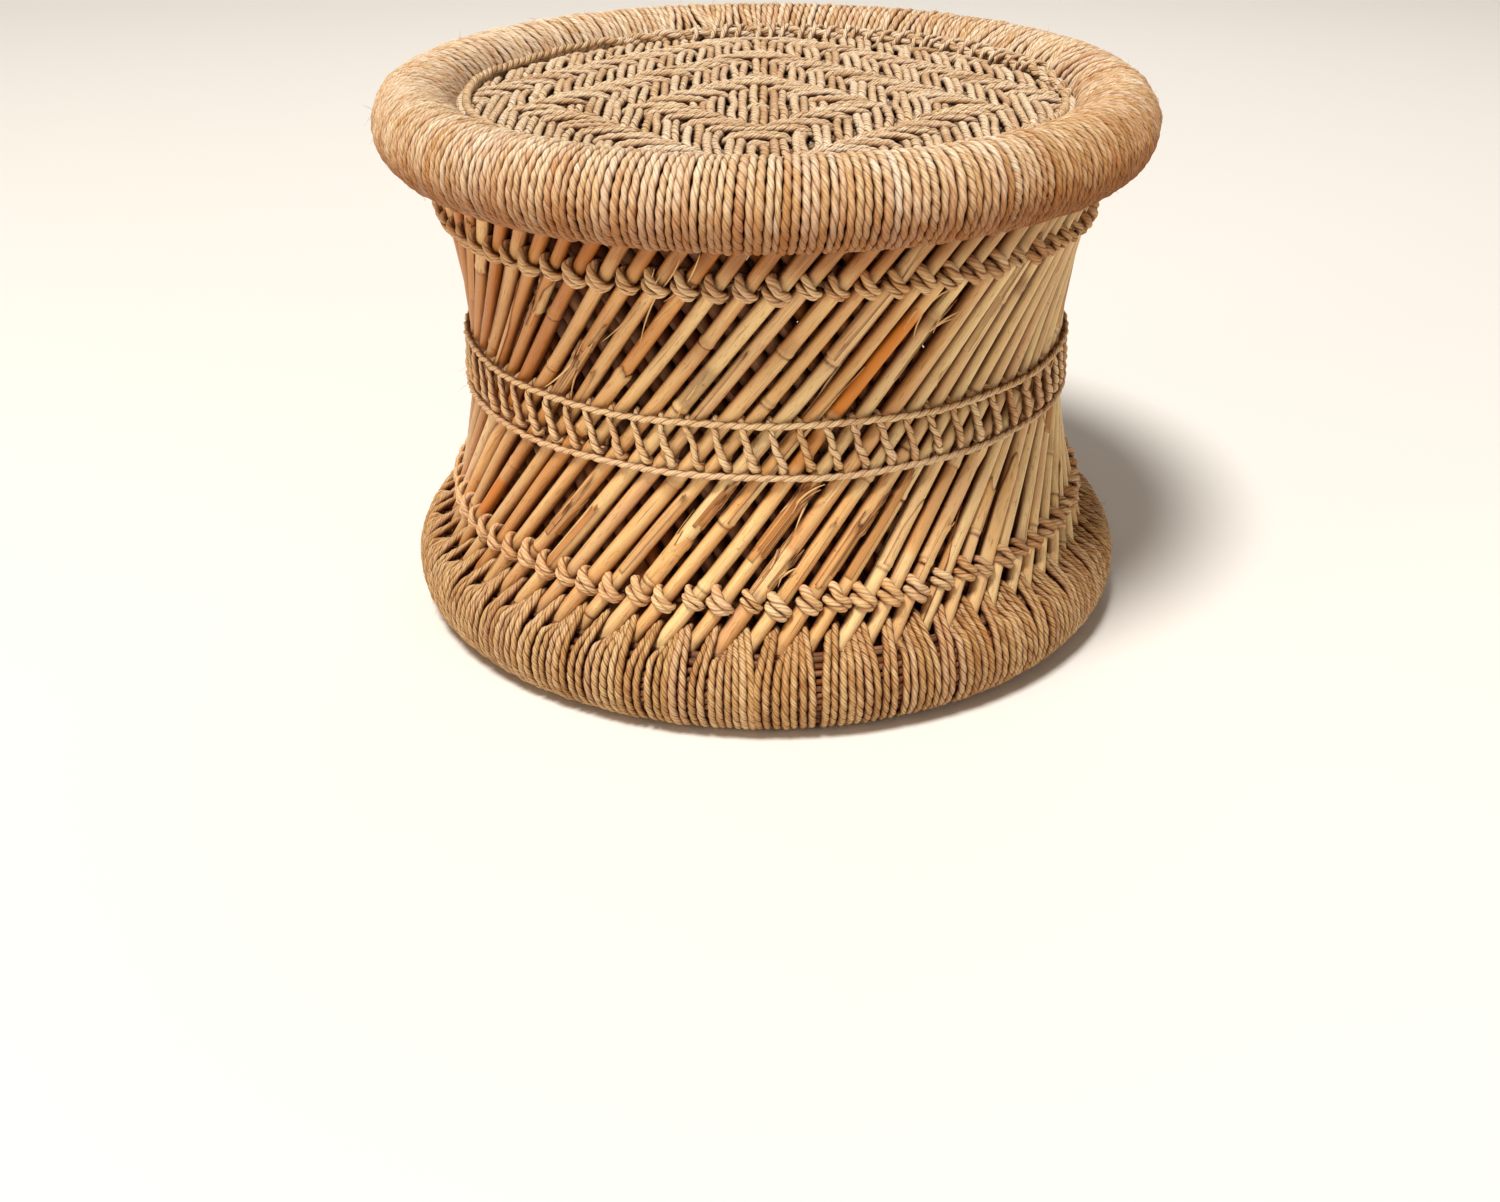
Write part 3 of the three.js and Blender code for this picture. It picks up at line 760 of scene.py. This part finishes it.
def cane_line(layer, way, turn, along_share, rng, bend, kink_at):
    """Centre lines of canes and the way outwards, at these shares of their length."""
    height = cane_height(along_share)
    azimuth = turn[:, None] + way * travel(layer, height)
    centre = polar(axis_radius(layer, height), azimuth, height)
    out = outwards(layer, height, azimuth)
    side = round_stool(centre)
    rows, points = along_share.shape
    drift = wander(rng, rows, points, 4, bend, along_share)
    drift = drift + wander(rng, rows, points, 4, bend * 0.5, along_share)
    for kinks in kink_at.T:
        apart = np.abs(along_share * CANE_LENGTH - kinks[:, None])
        drift = drift + rng.normal(0, bend * 1.1, (rows, 1)) * np.clip(1 - apart / 90, 0, 1)
    ends = rise(along_share, 0, 0.12) * fall(along_share, 1, 0.12)
    centre = centre + side * (drift * ends)[..., None]
    lift = wander(rng, rows, points, 4, bend * 0.3, along_share) * ends
    return centre + out * lift[..., None], out


def cane_stations(joints, base):
    """Shares of the length where a cane gets points: even ones, and more at its joints."""
    rows = len(joints)
    even = np.tile(np.linspace(0, 1, base), (rows, 1))
    near = (joints[:, :, None] + JOINT_OFFSETS) / CANE_LENGTH
    every = np.concatenate([even, near.reshape(rows, -1)], axis=1)
    count = every.shape[1]
    apart = 1e-6
    return np.sort(np.clip(every, 0, 1), axis=1) * (1 - apart * count) + np.arange(count) * apart


def jointed(rng, thick, look, along, joints):
    """A reed is thicker at a joint, with a groove and a pale or dark ring below it."""
    rows = len(joints)
    tone, orange, dark, _ = parts(look)
    for place in joints.T:
        gone = along - place[:, None]
        swell = rng.uniform(0.04, 0.1, (rows, 1))
        thick = thick * (1 + swell * bell(gone, 1.7) - 0.06 * bell(gone + 2.4, 0.9))
        thick = thick * (1 - 0.035 * smoothstep(gone / 5))
        ring = rng.uniform(0.45, 0.95, (rows, 1))
        raise_to(dark, ring * bell(gone + 2.0, 0.9))
        stain = (rng.random((rows, 1)) < 0.4) * rng.uniform(0.2, 0.6, (rows, 1))
        spread = np.exp(-np.abs((gone - rng.uniform(-5, 5, (rows, 1))) / 6) ** 3)
        raise_to(dark, 0.75 * stain * spread)
        raise_to(orange, 0.6 * stain * spread)
        tone += rng.normal(0, 0.12, (rows, 1)) * smoothstep(gone / 4)
        tone += 0.14 * bell(gone - 3, 4)
    return thick


def cane_looks(rng, rows, points):
    look = np.zeros((rows, points, 4))
    tone, orange, _, free = parts(look)
    tone[:] = np.clip(rng.normal(0.5, 0.24, (rows, 1)), 0.02, 1)
    orange[:] = np.clip(rng.exponential(0.07, (rows, 1)), 0, 0.5)
    free[:] = rng.random((rows, 1))
    return look


def canes():
    rng = np.random.default_rng(37)
    turn = np.arange(CANES) * PITCH
    first = rng.uniform(10, 200, CANES)
    for cane, place in SEEN_JOINTS.items():
        first[cane] = place
    second = (first + rng.uniform(110, 230, CANES)) % (CANE_LENGTH - 10) + 5
    joints = np.stack([first, second], axis=1)
    share = cane_stations(joints, 88)
    points = share.shape[1]
    centre, out = cane_line(OUTER, 1, turn, share, rng, 0.8, joints)
    along = share * CANE_LENGTH
    radius = np.clip(CANE_SIZE * vary(rng, 0.06, (CANES, 1)), 3.9, 4.85)
    thick = radius * (1 + wander(rng, CANES, points, 6, 0.02, share))
    look = cane_looks(rng, CANES, points)
    tone, orange, dark, _ = parts(look)
    thick = jointed(rng, thick, look, along, joints)
    even = np.tile(np.linspace(0, 1, 60), (CANES, 1))
    inner_centre, inner_out = cane_line(INNER, -1, turn, even, rng, 0.5, joints)
    inner_radius = np.clip(INNER_CANE_SIZE * vary(rng, 0.04, (CANES, 1)), 4.8, 5.4)
    inner_look = cane_looks(rng, CANES, 60)
    height = cane_height(share)
    # Paler to the right, warmer and darker to the left: partly the reeds' own colour, partly
    # painted light and shade
    right, left = right_left(turn[:, None] + travel(OUTER, height))
    tone[:] = 0.5 + (tone - 0.5) * (1 - 0.35 * left)
    tone += 0.55 * right - 0.2 * left + 0.12 * (1 - rise(height, 90, 40)) * left
    warm = left * (0.08 + 0.34 * rise(height, 100, 60))
    orange[:] = np.clip(orange * (1 - 0.8 * right - 0.5 * left) + warm, 0, 1)
    low = 1 - rise(height, 105, 40)
    orange *= 1 - low * (1 - left)
    # Painted shadow of the top ring: the canes are more orange and darker just below it
    shaded = rise(height, 244, 20)
    raise_to(orange, (0.6 - 0.5 * right) * shaded)
    raise_to(dark, (0.52 - 0.3 * left - 0.2 * right) * shaded)
    raise_to(dark, 0.24 * left)
    for cane, marks in MARKS.items():
        for start, end, number, amount in marks:
            inside = rise(along[cane], start, 3) * fall(along[cane], end, 3)
            raise_to(look[cane, :, number], amount * inside)
    reeds = list(zip(centre, out, thick, along))
    sheaths = cane_sheaths(rng, reeds, joints)
    for group in range(GROUPS):
        own = slice(group * CANES_PER_GROUP, (group + 1) * CANES_PER_GROUP)
        batch = Batch()
        batch.sweep(centre[own], out[own], thick[own], 14, look[own], painted_shading=0.86,
                    rim=0.72 - 0.22 * right[own])
        for cane in range(own.start, own.stop):
            for verts, sheath_look, at in sheaths[cane]:
                batch.loft(verts, sheath_look, at, folded=True)
            for marked, place, count, length in SLIVERS:
                if marked == cane:
                    splinters(batch, rng, *reeds[cane], place, count, length)
        node = f"cane_group_{group + 1:02d}"
        batch.make(f"canes_{group + 1:02d}", CANE, node)
        batch = Batch()
        batch.sweep(inner_centre[own], inner_out[own], inner_radius[own], 10, inner_look[own])
        batch.make(f"inner_canes_{group + 1:02d}", SHADED_INNER_CANE, node)


def along_cane(at, along, values):
    return np.stack([np.interp(at, along, values[:, k]) for k in range(values.shape[1])], -1)


def sheath(rng, centre, out, thick, along, start, end, cover, facing, tear, look):
    """A leaf sheath round part of a reed, with a torn upper edge. It is a thin closed shell."""
    rows, columns = max(int((end - start) / 2.2), 7), 15
    t = np.linspace(0, 1, rows)[:, None]
    angle = facing + np.linspace(-cover, cover, columns)[None]
    narrowing = 1 - 0.55 * rise(t, 0.55, 0.45) * rng.uniform(0, 1)
    angle = facing + (angle - facing) * narrowing
    torn = rng.normal(0, 1, columns)
    torn = (torn + np.roll(torn, 1) * 0.6) * tear
    at = np.clip(start + t * (end - start) + torn[None] * t ** 3, 0, along[-1])
    point = along_cane(at, along, centre)
    normal = unit(along_cane(at, along, out))
    axis = unit(centre[-1] - centre[0])
    side = unit(np.cross(axis, normal))
    reach = np.interp(at, along, thick)
    rim = rise(t, 0.8, 0.2) * rng.uniform(0.1, 1.3) + 0 * angle
    lift = 0.3 + rim + 0.25 * np.abs(np.linspace(-1, 1, columns)) ** 6
    shell = []
    for distance in (reach + lift, reach + lift - 0.45):
        shell.append(point + (distance * np.cos(angle))[..., None] * normal
                     + (distance * np.sin(angle))[..., None] * side)
    verts = np.concatenate([shell[0], shell[1][:, ::-1]], axis=1)[None]
    shade = np.empty((1, rows, 2 * columns, 4))
    shade[:] = look
    shade[0, ..., DARK] += 0.7 * rise(t, 0.93, 0.07) * rng.random()
    shade[0, :, (0, columns - 1), DARK] = 0.85
    return verts, shade, (start + t[:, 0] * (end - start))[None]


def cane_sheaths(rng, reeds, joints):
    """Sheaths left on some reeds, long splinters, and the frayed reeds of the photograph."""
    made = [[] for _ in range(CANES)]

    def add(cane, look, *shape):
        made[cane].append(sheath(rng, *reeds[cane], *shape, look))

    for cane in range(CANES):
        for place in joints[cane]:
            if rng.random() > 0.5 or cane in MARKS:
                continue
            end = min(place + rng.uniform(18, 110), CANE_LENGTH - 30)
            if end - place < 14:
                continue
            look = (np.clip(rng.normal(0.68, 0.2), 0.1, 1), max(0, rng.normal(0.02, 0.12)), 0,
                    rng.random())
            add(cane, look, place + 1, end, rng.uniform(2, 3), rng.uniform(0, TAU),
                rng.uniform(1, 5))
        if rng.random() < 0.4 and cane != ORANGE_REED:
            start = rng.uniform(40, 220)
            look = (np.clip(rng.normal(0.6, 0.3), 0, 1), rng.uniform(0, 0.3),
                    rng.uniform(0, 0.35), rng.random())
            add(cane, look, start, start + rng.uniform(25, 80), rng.uniform(0.25, 0.6),
                rng.uniform(-1, 1), 2.0)
    for cane, place, strips, span, tone in FRAYED:
        for _ in range(strips):
            start = place + rng.uniform(-4, 14)
            look = (tone + rng.uniform(-0.3, 0.3), rng.uniform(0, 0.5), rng.uniform(0, 0.45),
                    rng.random())
            add(cane, look, start, start + span * rng.uniform(0.5, 1), rng.uniform(0.15, 0.42),
                rng.uniform(-1.3, 1.3), 3.0)
    return made


def splinters(batch, rng, centre, out, thick, along, place, count, length):
    """Thin slivers that have come off a reed at one end and curl away from it."""
    at = np.clip(place + rng.uniform(-7, 7, count), 5, along[-1] - 5)
    root = along_cane(at, along, centre)
    normal = unit(along_cane(at, along, out))
    axis = unit(centre[-1] - centre[0])
    side = np.cross(axis, normal)
    turn = rng.uniform(-1.0, 1.0, (count, 1))
    face = np.cos(turn) * normal + np.sin(turn) * side
    root = root + face * (np.interp(at, along, thick)[:, None] - 0.3)
    way = rng.choice([-1.0, 1.0], (count, 1))
    heading = axis * way + face * rng.uniform(0.08, 0.32, (count, 1))
    reach = length * rng.uniform(0.4, 1, (count, 1))
    curl = face * rng.uniform(0.0, 0.25, (count, 1)) + side * rng.normal(0, 0.1, (count, 1))
    t = np.linspace(0, 1, 9)[None, :, None]
    line = root[:, None] + unit(heading)[:, None] * reach[:, None] * t
    line = line + (curl * reach)[:, None] * t ** 2.2
    fine = rng.uniform(0.35, 0.8, (count, 1)) * (1 - 0.75 * t[..., 0] ** 2)
    batch.sweep(line, face[:, None], fine, 5, looks(rng, count, 0.1, 0.45))


# Ropes that tie the canes

# A hitch goes twice round its cane. Each stop is: degrees round the cane from its outer side,
# growing to the right, place along the cane in mm, and distance off it in mm
HITCH = np.array([
    (-200, -1.0, -0.2), (-150, -1.3, -0.1), (-100, -1.6, 0.0), (-50, -2.2, 0.1), (0, -2.6, 0.2),
    (50, -2.6, 0.1), (100, -2.2, -0.1), (150, -0.6, -0.2), (196, 1.0, -0.1), (232, 2.3, 0.2),
    (262, 3.3, 0.7), (290, 3.4, 1.2), (322, 2.7, 1.2), (360, 1.5, 0.7), (402, 0.6, 0.5),
    (446, -0.1, 0.4), (484, -0.4, 0.2), (524, -0.5, 0.0),
])

# From a cane's axis to the inner side of its hitch, which is pulled into the reed a little
HITCH_OFF = 3.9


def hitches(name, node, height, seed, size, bigger):
    rng = np.random.default_rng(seed)
    rows, points = CANES, 72
    jitter = rng.normal(0, (4.0, 0.3, 0.1), (rows, len(HITCH), 3))
    scale = vary(rng, 0.09, (rows, 1))
    scale[list(bigger)] *= 1.12
    round_by, place_by, off_by = HITCH.T
    degrees = round_by + jitter[..., 0] + rng.normal(0, 7, (rows, 1))
    place = place_by * scale + jitter[..., 1]
    slim = 0.68 + 0.32 * smoothstep(np.cos(np.radians(round_by)) + 0.25)
    stand = HITCH_OFF + size * scale * slim + off_by + jitter[..., 2]
    middle = height + rng.normal(0, 0.8, (rows, 1))
    angle = np.radians(degrees)
    turn = np.arange(CANES)[:, None] * PITCH
    lean = OUTER["lean"]
    at = middle + place * math.cos(math.atan(lean))
    azimuth = turn + travel(OUTER, at)
    on_axis = polar(axis_radius(OUTER, at), azimuth, at)
    axis = unit(np.stack([-np.sin(turn) * lean, np.cos(turn) * lean, 1 + 0 * turn], -1))
    normal = square_to(axis, outwards(OUTER, at, azimuth))
    side = np.cross(axis, normal)
    stops = on_axis + stand[..., None] * (np.cos(angle)[..., None] * normal
                                          + np.sin(angle)[..., None] * side)
    centre = through(stops, points)
    hub = polar(axis_radius(OUTER, middle), turn + travel(OUTER, middle), middle)
    out = unit(centre - hub)
    thick = 1.1 * size * scale * (1 + wander(rng, rows, points, 9, 0.06))
    share = np.linspace(0, 1, points)[None]
    thick = thick * np.interp(share, np.linspace(0, 1, len(HITCH)), slim)
    thick = thick * (1 + 0.24 * bell(share - 0.66, 0.08))
    look = looks(rng, rows, 0.1)
    tone, orange, dark, _ = parts(look)
    # Painted light: paler and more orange to the left; darker and browner to the right, partly
    # their own colour and partly painted shade
    right, left = right_left(turn + travel(OUTER, height))
    tone[:] = 0.68 + 0.6 * (tone - 0.5) - 0.4 * right + 0.4 * left
    orange += 0.5 * left
    orange *= 1 - 0.8 * right
    dark += 0.15 * right
    batch = Batch()
    twist = plied(centre, HITCH_LAY, rng)
    batch.sweep(centre, out, thick, 12, look, twist, 0.18, painted_shading=0.75, rim=0.55)
    fuzz(batch, rng, centre, out, thick, 90)
    # The rope between one hitch and the next
    start = centre[:, -2]
    end = np.roll(centre[:, 1], -1, axis=0)
    half = (start + end) / 2
    inwards = unit(half * np.array([1, 1, 0]))
    links = through(np.stack([start, half - inwards * 0.8, end], 1), 12)
    twist = plied(links, LINK_LAY)
    batch.sweep(links, unit(half)[:, None], size * 0.95, 8, look, twist, 0.3)
    batch.make(name, TIE_ROPE, node)


def waist_rope(name, node, height, seed):
    rng = np.random.default_rng(seed)
    points = 1100
    azimuth = circle(points)
    wave = np.cos((azimuth - travel(OUTER, height)) * CANES)
    swing = 0.5 * np.sin(azimuth * 5 + seed) + 0.35 * np.sin(azimuth * 13 + 2 * seed)
    level = height + swing
    centre = off_layer(OUTER, level, azimuth, CANE_SIZE + WAIST_SIZE - 0.3 + 0.3 * wave)
    out = outwards(OUTER, level, azimuth)
    twist = HAND * azimuth * WAIST_LAYS + 0.5 * np.sin(azimuth * 21)
    thick = WAIST_SIZE * (1 + 0.04 * np.sin(azimuth * 37 + seed) + 0.03 * np.sin(azimuth * 83))
    look = np.repeat(looks(rng, 1), points, axis=1)
    tone, orange, _, _ = parts(look)
    # Painted light: paler and warmer to the left; darker to the right, partly its own colour
    right, left = right_left(azimuth)
    tone[:] = 0.92 - 0.3 * right + 0.5 * left
    orange[:] = 0.05 + 0.35 * left
    batch = Batch()
    batch.sweep(centre, out, thick, 12, look, twist, 0.3, closed=True, painted_shading=0.85, rim=0.6)
    fuzz(batch, rng, centre, out, thick, 130, 8.0)
    batch.make(name, TIE_ROPE, node)


# A leg of the lacing: share of the way down, share of the way across, and distance off the
# canes' axes in mm
LEG = np.array([
    (-0.1, -0.02, -1.0), (-0.02, 0.0, 3.4), (0.09, 0.05, 5.6), (0.22, 0.16, 6.1),
    (0.38, 0.33, 6.1), (0.55, 0.51, 6.2), (0.72, 0.69, 6.1), (0.86, 0.85, 5.9),
    (0.97, 0.97, 5.0), (1.02, 1.02, 2.6), (0.98, 1.01, -1.5),
])


def lacing():
    """The cord crosses the canes on its way down, and returns behind them."""
    rng = np.random.default_rng(53)
    points = 56
    top, bottom = BAND_TOP - 1.0, BAND_BOTTOM + 4.2
    jitter = rng.normal(0, (0.35, 0.0022, 0.12), (CANES, len(LEG), 3))
    down, over, off = LEG.T
    height = top + (bottom - top) * down + jitter[..., 0]
    start = np.arange(CANES) * PITCH + PITCH * 0.66 + travel(OUTER, top)
    across = 1.75 * PITCH - (travel(OUTER, top) - travel(OUTER, bottom))
    azimuth = start[:, None] + across * over + jitter[..., 1]
    centre = through(off_layer(OUTER, height, azimuth, off + jitter[..., 2]), points)
    out = unit(centre * np.array([1, 1, 0]))
    t = np.linspace(0, 1, points)[None]
    size = 1.95 + 0.65 * rise(t, 0.3, 0.5)
    thick = size * (1 + wander(rng, CANES, points, 6, 0.05)) * vary(rng, 0.06, (CANES, 1))
    look = looks(rng, CANES, 0.1)
    tone, orange, _, _ = parts(look)
    # Painted light: paler and warmer to the left; darker to the right, partly its own colour
    right, left = right_left(start[:, None])
    tone[:] = np.clip(tone + 0.3 + 0.45 * left, 0, 1.2 + 0.3 * left)
    tone -= 0.3 * right
    orange += 0.35 * left
    thick = thick * (1 + 0.22 * right)
    batch = Batch()
    twist = plied(centre, LACE_LAY, rng)
    batch.sweep(centre, out, thick, 12, look, twist, 0.22, painted_shading=0.85, rim=0.66)
    fuzz(batch, rng, centre[:, 8:-8], out[:, 8:-8], thick[:, 8:-8], 70, 6.0)
    # Behind the canes, up to where the next leg starts
    below = centre[:, -1]
    above = np.roll(centre[:, 0], -1, axis=0)
    back = through(np.stack([below, (below + above) / 2 - 1.5 * unit(below), above], 1), 12)
    batch.sweep(back, out[:, :1], 1.5, 7, look, plied(back, RETURN_LAY), 0.3)
    batch.make("waist_lace", TIE_ROPE, "waist_lacing")


# Seat: ropes in pairs, woven in a twill that turns back at the middle, so it makes rhombs

COLUMN_PITCH = 11.4
COLUMN_CENTRE = -4.5
ROW_PITCH = 13.2
ROW_CENTRE = -37.3
FAR_ROW_PITCH = 11.8
FAR_ROW = 10
SEAT_PLANE = 298.4
CROWN = 4.0
WEAVE_HALF = 2.5
UPRIGHT_HALF = 2.45
LEVEL_HALF = 2.2
UP = np.array([0.0, 0.0, 1.0])


def row_place(row):
    """Rows count towards the photograph's camera. Past the tenth they lie closer."""
    if row >= -FAR_ROW:
        return ROW_CENTRE - ROW_PITCH * row
    return ROW_CENTRE + ROW_PITCH * FAR_ROW + FAR_ROW_PITCH * (-row - FAR_ROW)


def smooth_line(values, step, width):
    reach = int(4 * width / step)
    kernel = np.exp(-0.5 * (np.arange(-reach, reach + 1) * step / width) ** 2)
    padded = np.pad(values, reach, mode="edge")
    return np.convolve(padded, kernel / kernel.sum(), mode="valid")


def seat_rope(rng, upright, number, place, numbers, places, ply, drift):
    """One rope of a pair, which goes over three of the pairs that cross it and under three. The
    fourth number of its points says how far they lie under those."""
    step = 0.6
    apart = UPRIGHT_HALF if upright else LEVEL_HALF
    edge = math.sqrt(SEAT_EDGE ** 2 - (place + ply * apart) ** 2)
    at = np.arange(-edge, edge, step)
    nearest = np.abs(at[:, None] - places).argmin(axis=1)
    over = np.isin((abs(number) + np.abs(numbers[nearest])) % 6, (1, 2, 3))
    sign = np.where(over == upright, 1.0, -1.0)
    level = 0.86 * smooth_line(sign, step, 2.7) + 0.42 * smooth_line(sign, step, 9.0)
    sideways = place + ply * (apart + 0.18 * level) + drift
    sideways = sideways + wander(rng, 1, len(at), 2 + len(at) // 34, 0.6)[0]
    under = smoothstep(-level - 0.1)
    level = level * WEAVE_HALF + wander(rng, 1, len(at), 2 + len(at) // 30, 0.3)[0]
    out = np.hypot(sideways, at)
    tuck = rise(out, 160, 17)
    z = SEAT_PLANE + CROWN * np.clip(1 - (out / SEAT_EDGE) ** 2, 0, 1)
    z = z + level * (1 - 0.6 * tuck) - tuck
    x, y = (sideways, at) if upright else (at, sideways)
    return evenly(np.stack([x, y, z, under], -1)[None], int(2 * edge / 1.6))


def seat_weave():
    rng = np.random.default_rng(61)
    columns = [(i, COLUMN_CENTRE + COLUMN_PITCH * i) for i in range(-14, 16)]
    rows = [(j, row_place(j)) for j in range(-16, 11)]
    halves = {}
    for upright, lines, crossing in ((True, columns, rows), (False, rows, columns)):
        numbers, places = np.array(crossing).T
        for number, place in lines:
            drift = rng.normal(0, 0.35)
            halves.setdefault((upright, place < 0), []).extend(
                seat_rope(rng, upright, number, place, numbers, places, ply, drift)
                for ply in (-1, 1))
    for (upright, low), made in halves.items():
        batch = Batch()
        for line in made:
            size = (UPRIGHT_SIZE if upright else LEVEL_SIZE) * vary(rng, 0.05)
            count = line.shape[1]
            look = np.repeat(looks(rng, 1, 0.1), count, axis=1)
            tone, _, dark, _ = parts(look)
            tone -= 0.02
            # Painted shade where the rope passes under the pairs that cross it
            dark[:] = 0.55 * line[..., 3]
            line = line[..., :3]
            thick = size * (1 + wander(rng, 1, count, 2 + count // 8, 0.05))
            twist = plied(line, SEAT_LAY * vary(rng, 0.12), rng)
            batch.sweep(line, UP, thick, 10, look, twist, 0.27, painted_shading=0.9, rim=0.58)
            fuzz(batch, rng, line, UP, thick, 4, 7.0)
        way = "upright" if upright else "level"
        name = f"seat_ropes_{way}_{'left' if low else 'right'}"
        batch.make(name, SEAT_ROPE, "seat_weave")


BORDER_RADIUS = 172.0
BORDER_HEIGHT = 305.3
TIED_AT = math.radians(62)


def seat_border():
    """Two ropes along the edge, loosely braided and tied down at the back right of it."""
    rng = np.random.default_rng(67)
    points = 1000
    azimuth = circle(points)
    batch = Batch()
    back = rise(np.cos(azimuth - TIED_AT), 0.2, 0.5)
    for phase in (0.0, math.pi):
        wave = azimuth * 40 + phase + 0.8 * np.sin(azimuth * 7) + 0.5 * np.sin(azimuth * 17)
        radius = BORDER_RADIUS - 2.3 * back * np.cos(wave) + 0.5 * np.sin(azimuth * 11 + phase)
        height = BORDER_HEIGHT + (0.3 + 1.5 * back) * np.sin(wave)
        height = height + 0.6 * np.sin(azimuth * 9 + phase)
        if phase:
            height = height - 3.2 * (1 - back)
            radius = radius + 2.6 * (1 - back)
        centre = polar(radius, azimuth, height)
        thick = BORDER_SIZE * (1 + 0.05 * np.sin(azimuth * 61 + phase * 2))
        twist = HAND * azimuth * BORDER_LAYS
        batch.sweep(centre, UP, thick, 10, looks(rng, 1), twist, 0.33, closed=True)
        fuzz(batch, rng, centre, UP, thick, 120, 8.0)
    # Short turns of rope over the edge where its ends are tied
    at = TIED_AT + np.linspace(-0.75, 0.75, 27) + rng.normal(0, 0.008, 27)
    skew = rng.normal(0.05, 0.02, len(at))
    stops = []
    for share, radius, height in ((0.0, 182.5, 300.0), (0.15, 179.5, 305.5), (0.4, 175.5, 308.6),
                                  (0.65, 170.5, 308.4), (0.85, 166.8, 304.6), (1.0, 166.0, 299.0)):
        bump = rng.normal(0, 0.5, len(at))
        stops.append(polar(radius + bump, at + skew * (share - 0.5), height + 0.5 * bump))
    turns = through(np.stack(stops, 1), 26)
    thick = TURN_SIZE * vary(rng, 0.07, (len(at), 1))
    look = looks(rng, len(at), 0.08, 0.15)
    batch.sweep(turns, UP, thick, 10, look, plied(turns, SEAT_LAY, rng), 0.3, painted_shading=0.8)
    batch.make("seat_edge_rope", SEAT_ROPE, "seat_border_rope")


top_winding()
base_winding()
base_core()
canes()
hitches("upper_hitches", "upper_knot_rope", UPPER_KNOTS - 3.0, 41, 2.05, (59, 60, 61, 63))
hitches("lower_hitches", "lower_knot_rope", LOWER_KNOTS, 43, 2.1, (63, 64, 65, 66, 67))
waist_rope("upper_waist_cord", "upper_waist_rope", BAND_TOP, 47)
waist_rope("lower_waist_cord", "lower_waist_rope", BAND_BOTTOM, 49)
lacing()
seat_weave()
seat_border()

for node in ("top_ring_outer_bundle", "top_ring_inner_bundle",
             "base_ring_outer_bundle", "base_ring_inner_bundle"):
    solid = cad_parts[node]
    solid.data.materials.clear()
    solid.data.materials.append(CORE)


# Floor, light and camera

def stage():
    size = 6.0
    mesh = bpy.data.meshes.new("floor")
    mesh.from_pydata([(-size, -size, 0), (size, -size, 0), (size, size, 0), (-size, size, 0)],
                     [], [(0, 1, 2, 3)])
    floor = add_object("floor", mesh)
    n = Nodes("floor")
    # Painted shade: under the stool the floor is dark brown, as the gaps between the canes show it
    # in the photograph
    place = n.put("ShaderNodeTexCoord").outputs["Object"]
    away = n.put("ShaderNodeVectorMath", {0: place}, operation="LENGTH").outputs["Value"]
    n.join(n.mix(n.spread(away, 0.16, 0.185), srgb(64, 38, 24), (0.87, 0.85, 0.82, 1)),
           n.shader.inputs["Base Color"])
    n.shader.inputs["Roughness"].default_value = 0.9
    mesh.materials.append(n.material)


LAMP_AIM = (0, 0, 0.2)


def lamp(name, place, size, power, colour):
    data = bpy.data.lights.new(name, "AREA")
    data.shape = "DISK"
    data.size = size
    data.energy = power
    data.color = colour
    made = add_object(name, data)
    made.location = place
    way = Vector(np.array(LAMP_AIM) - np.array(place))
    made.rotation_euler = way.to_track_quat("-Z", "Y").to_euler()


stage()
lamp("key", (-1.3, -2.3, 6.1), 1.7, 482, (1.0, 0.965, 0.905))
lamp("fill", (2.4, -2.6, 1.4), 1.6, 14, (1.0, 0.95, 0.88))
lamp("left", (-2.8, -1.7, 0.9), 1.2, 21, (1.0, 0.84, 0.64))
lamp("rim", (0.4, 1.8, 1.8), 1.4, 7, (1.0, 0.98, 0.95))

world = bpy.data.worlds.new("studio")
world.use_nodes = True
background = world.node_tree.nodes["Background"]
background.inputs["Color"].default_value = (1.0, 0.86, 0.7, 1)
background.inputs["Strength"].default_value = 0.16
bpy.context.scene.world = world

# The camera was fitted to the photograph: focal length and middle in its own pixels
PHOTO_WIDTH = 1500
PHOTO_MIDDLE = (750, 601)
FOCAL_LENGTH = 1866.4
LENS_MIDDLE = (766.1, 400)
CAMERA_PLACE = (0, -1.067, 0.5453)
CAMERA_DOWN = 0.386

camera_data = bpy.data.cameras.new("camera")
camera_data.sensor_width = 36.0
camera_data.lens = FOCAL_LENGTH / PHOTO_WIDTH * camera_data.sensor_width
camera_data.shift_x = -(LENS_MIDDLE[0] - PHOTO_MIDDLE[0]) / PHOTO_WIDTH
camera_data.shift_y = (LENS_MIDDLE[1] - PHOTO_MIDDLE[1]) / PHOTO_WIDTH
camera = add_object("camera", camera_data)
camera.location = CAMERA_PLACE
camera.rotation_euler = (math.pi / 2 - CAMERA_DOWN, 0, 0)
bpy.context.scene.camera = camera
bpy.context.scene.view_settings.view_transform = "Standard"
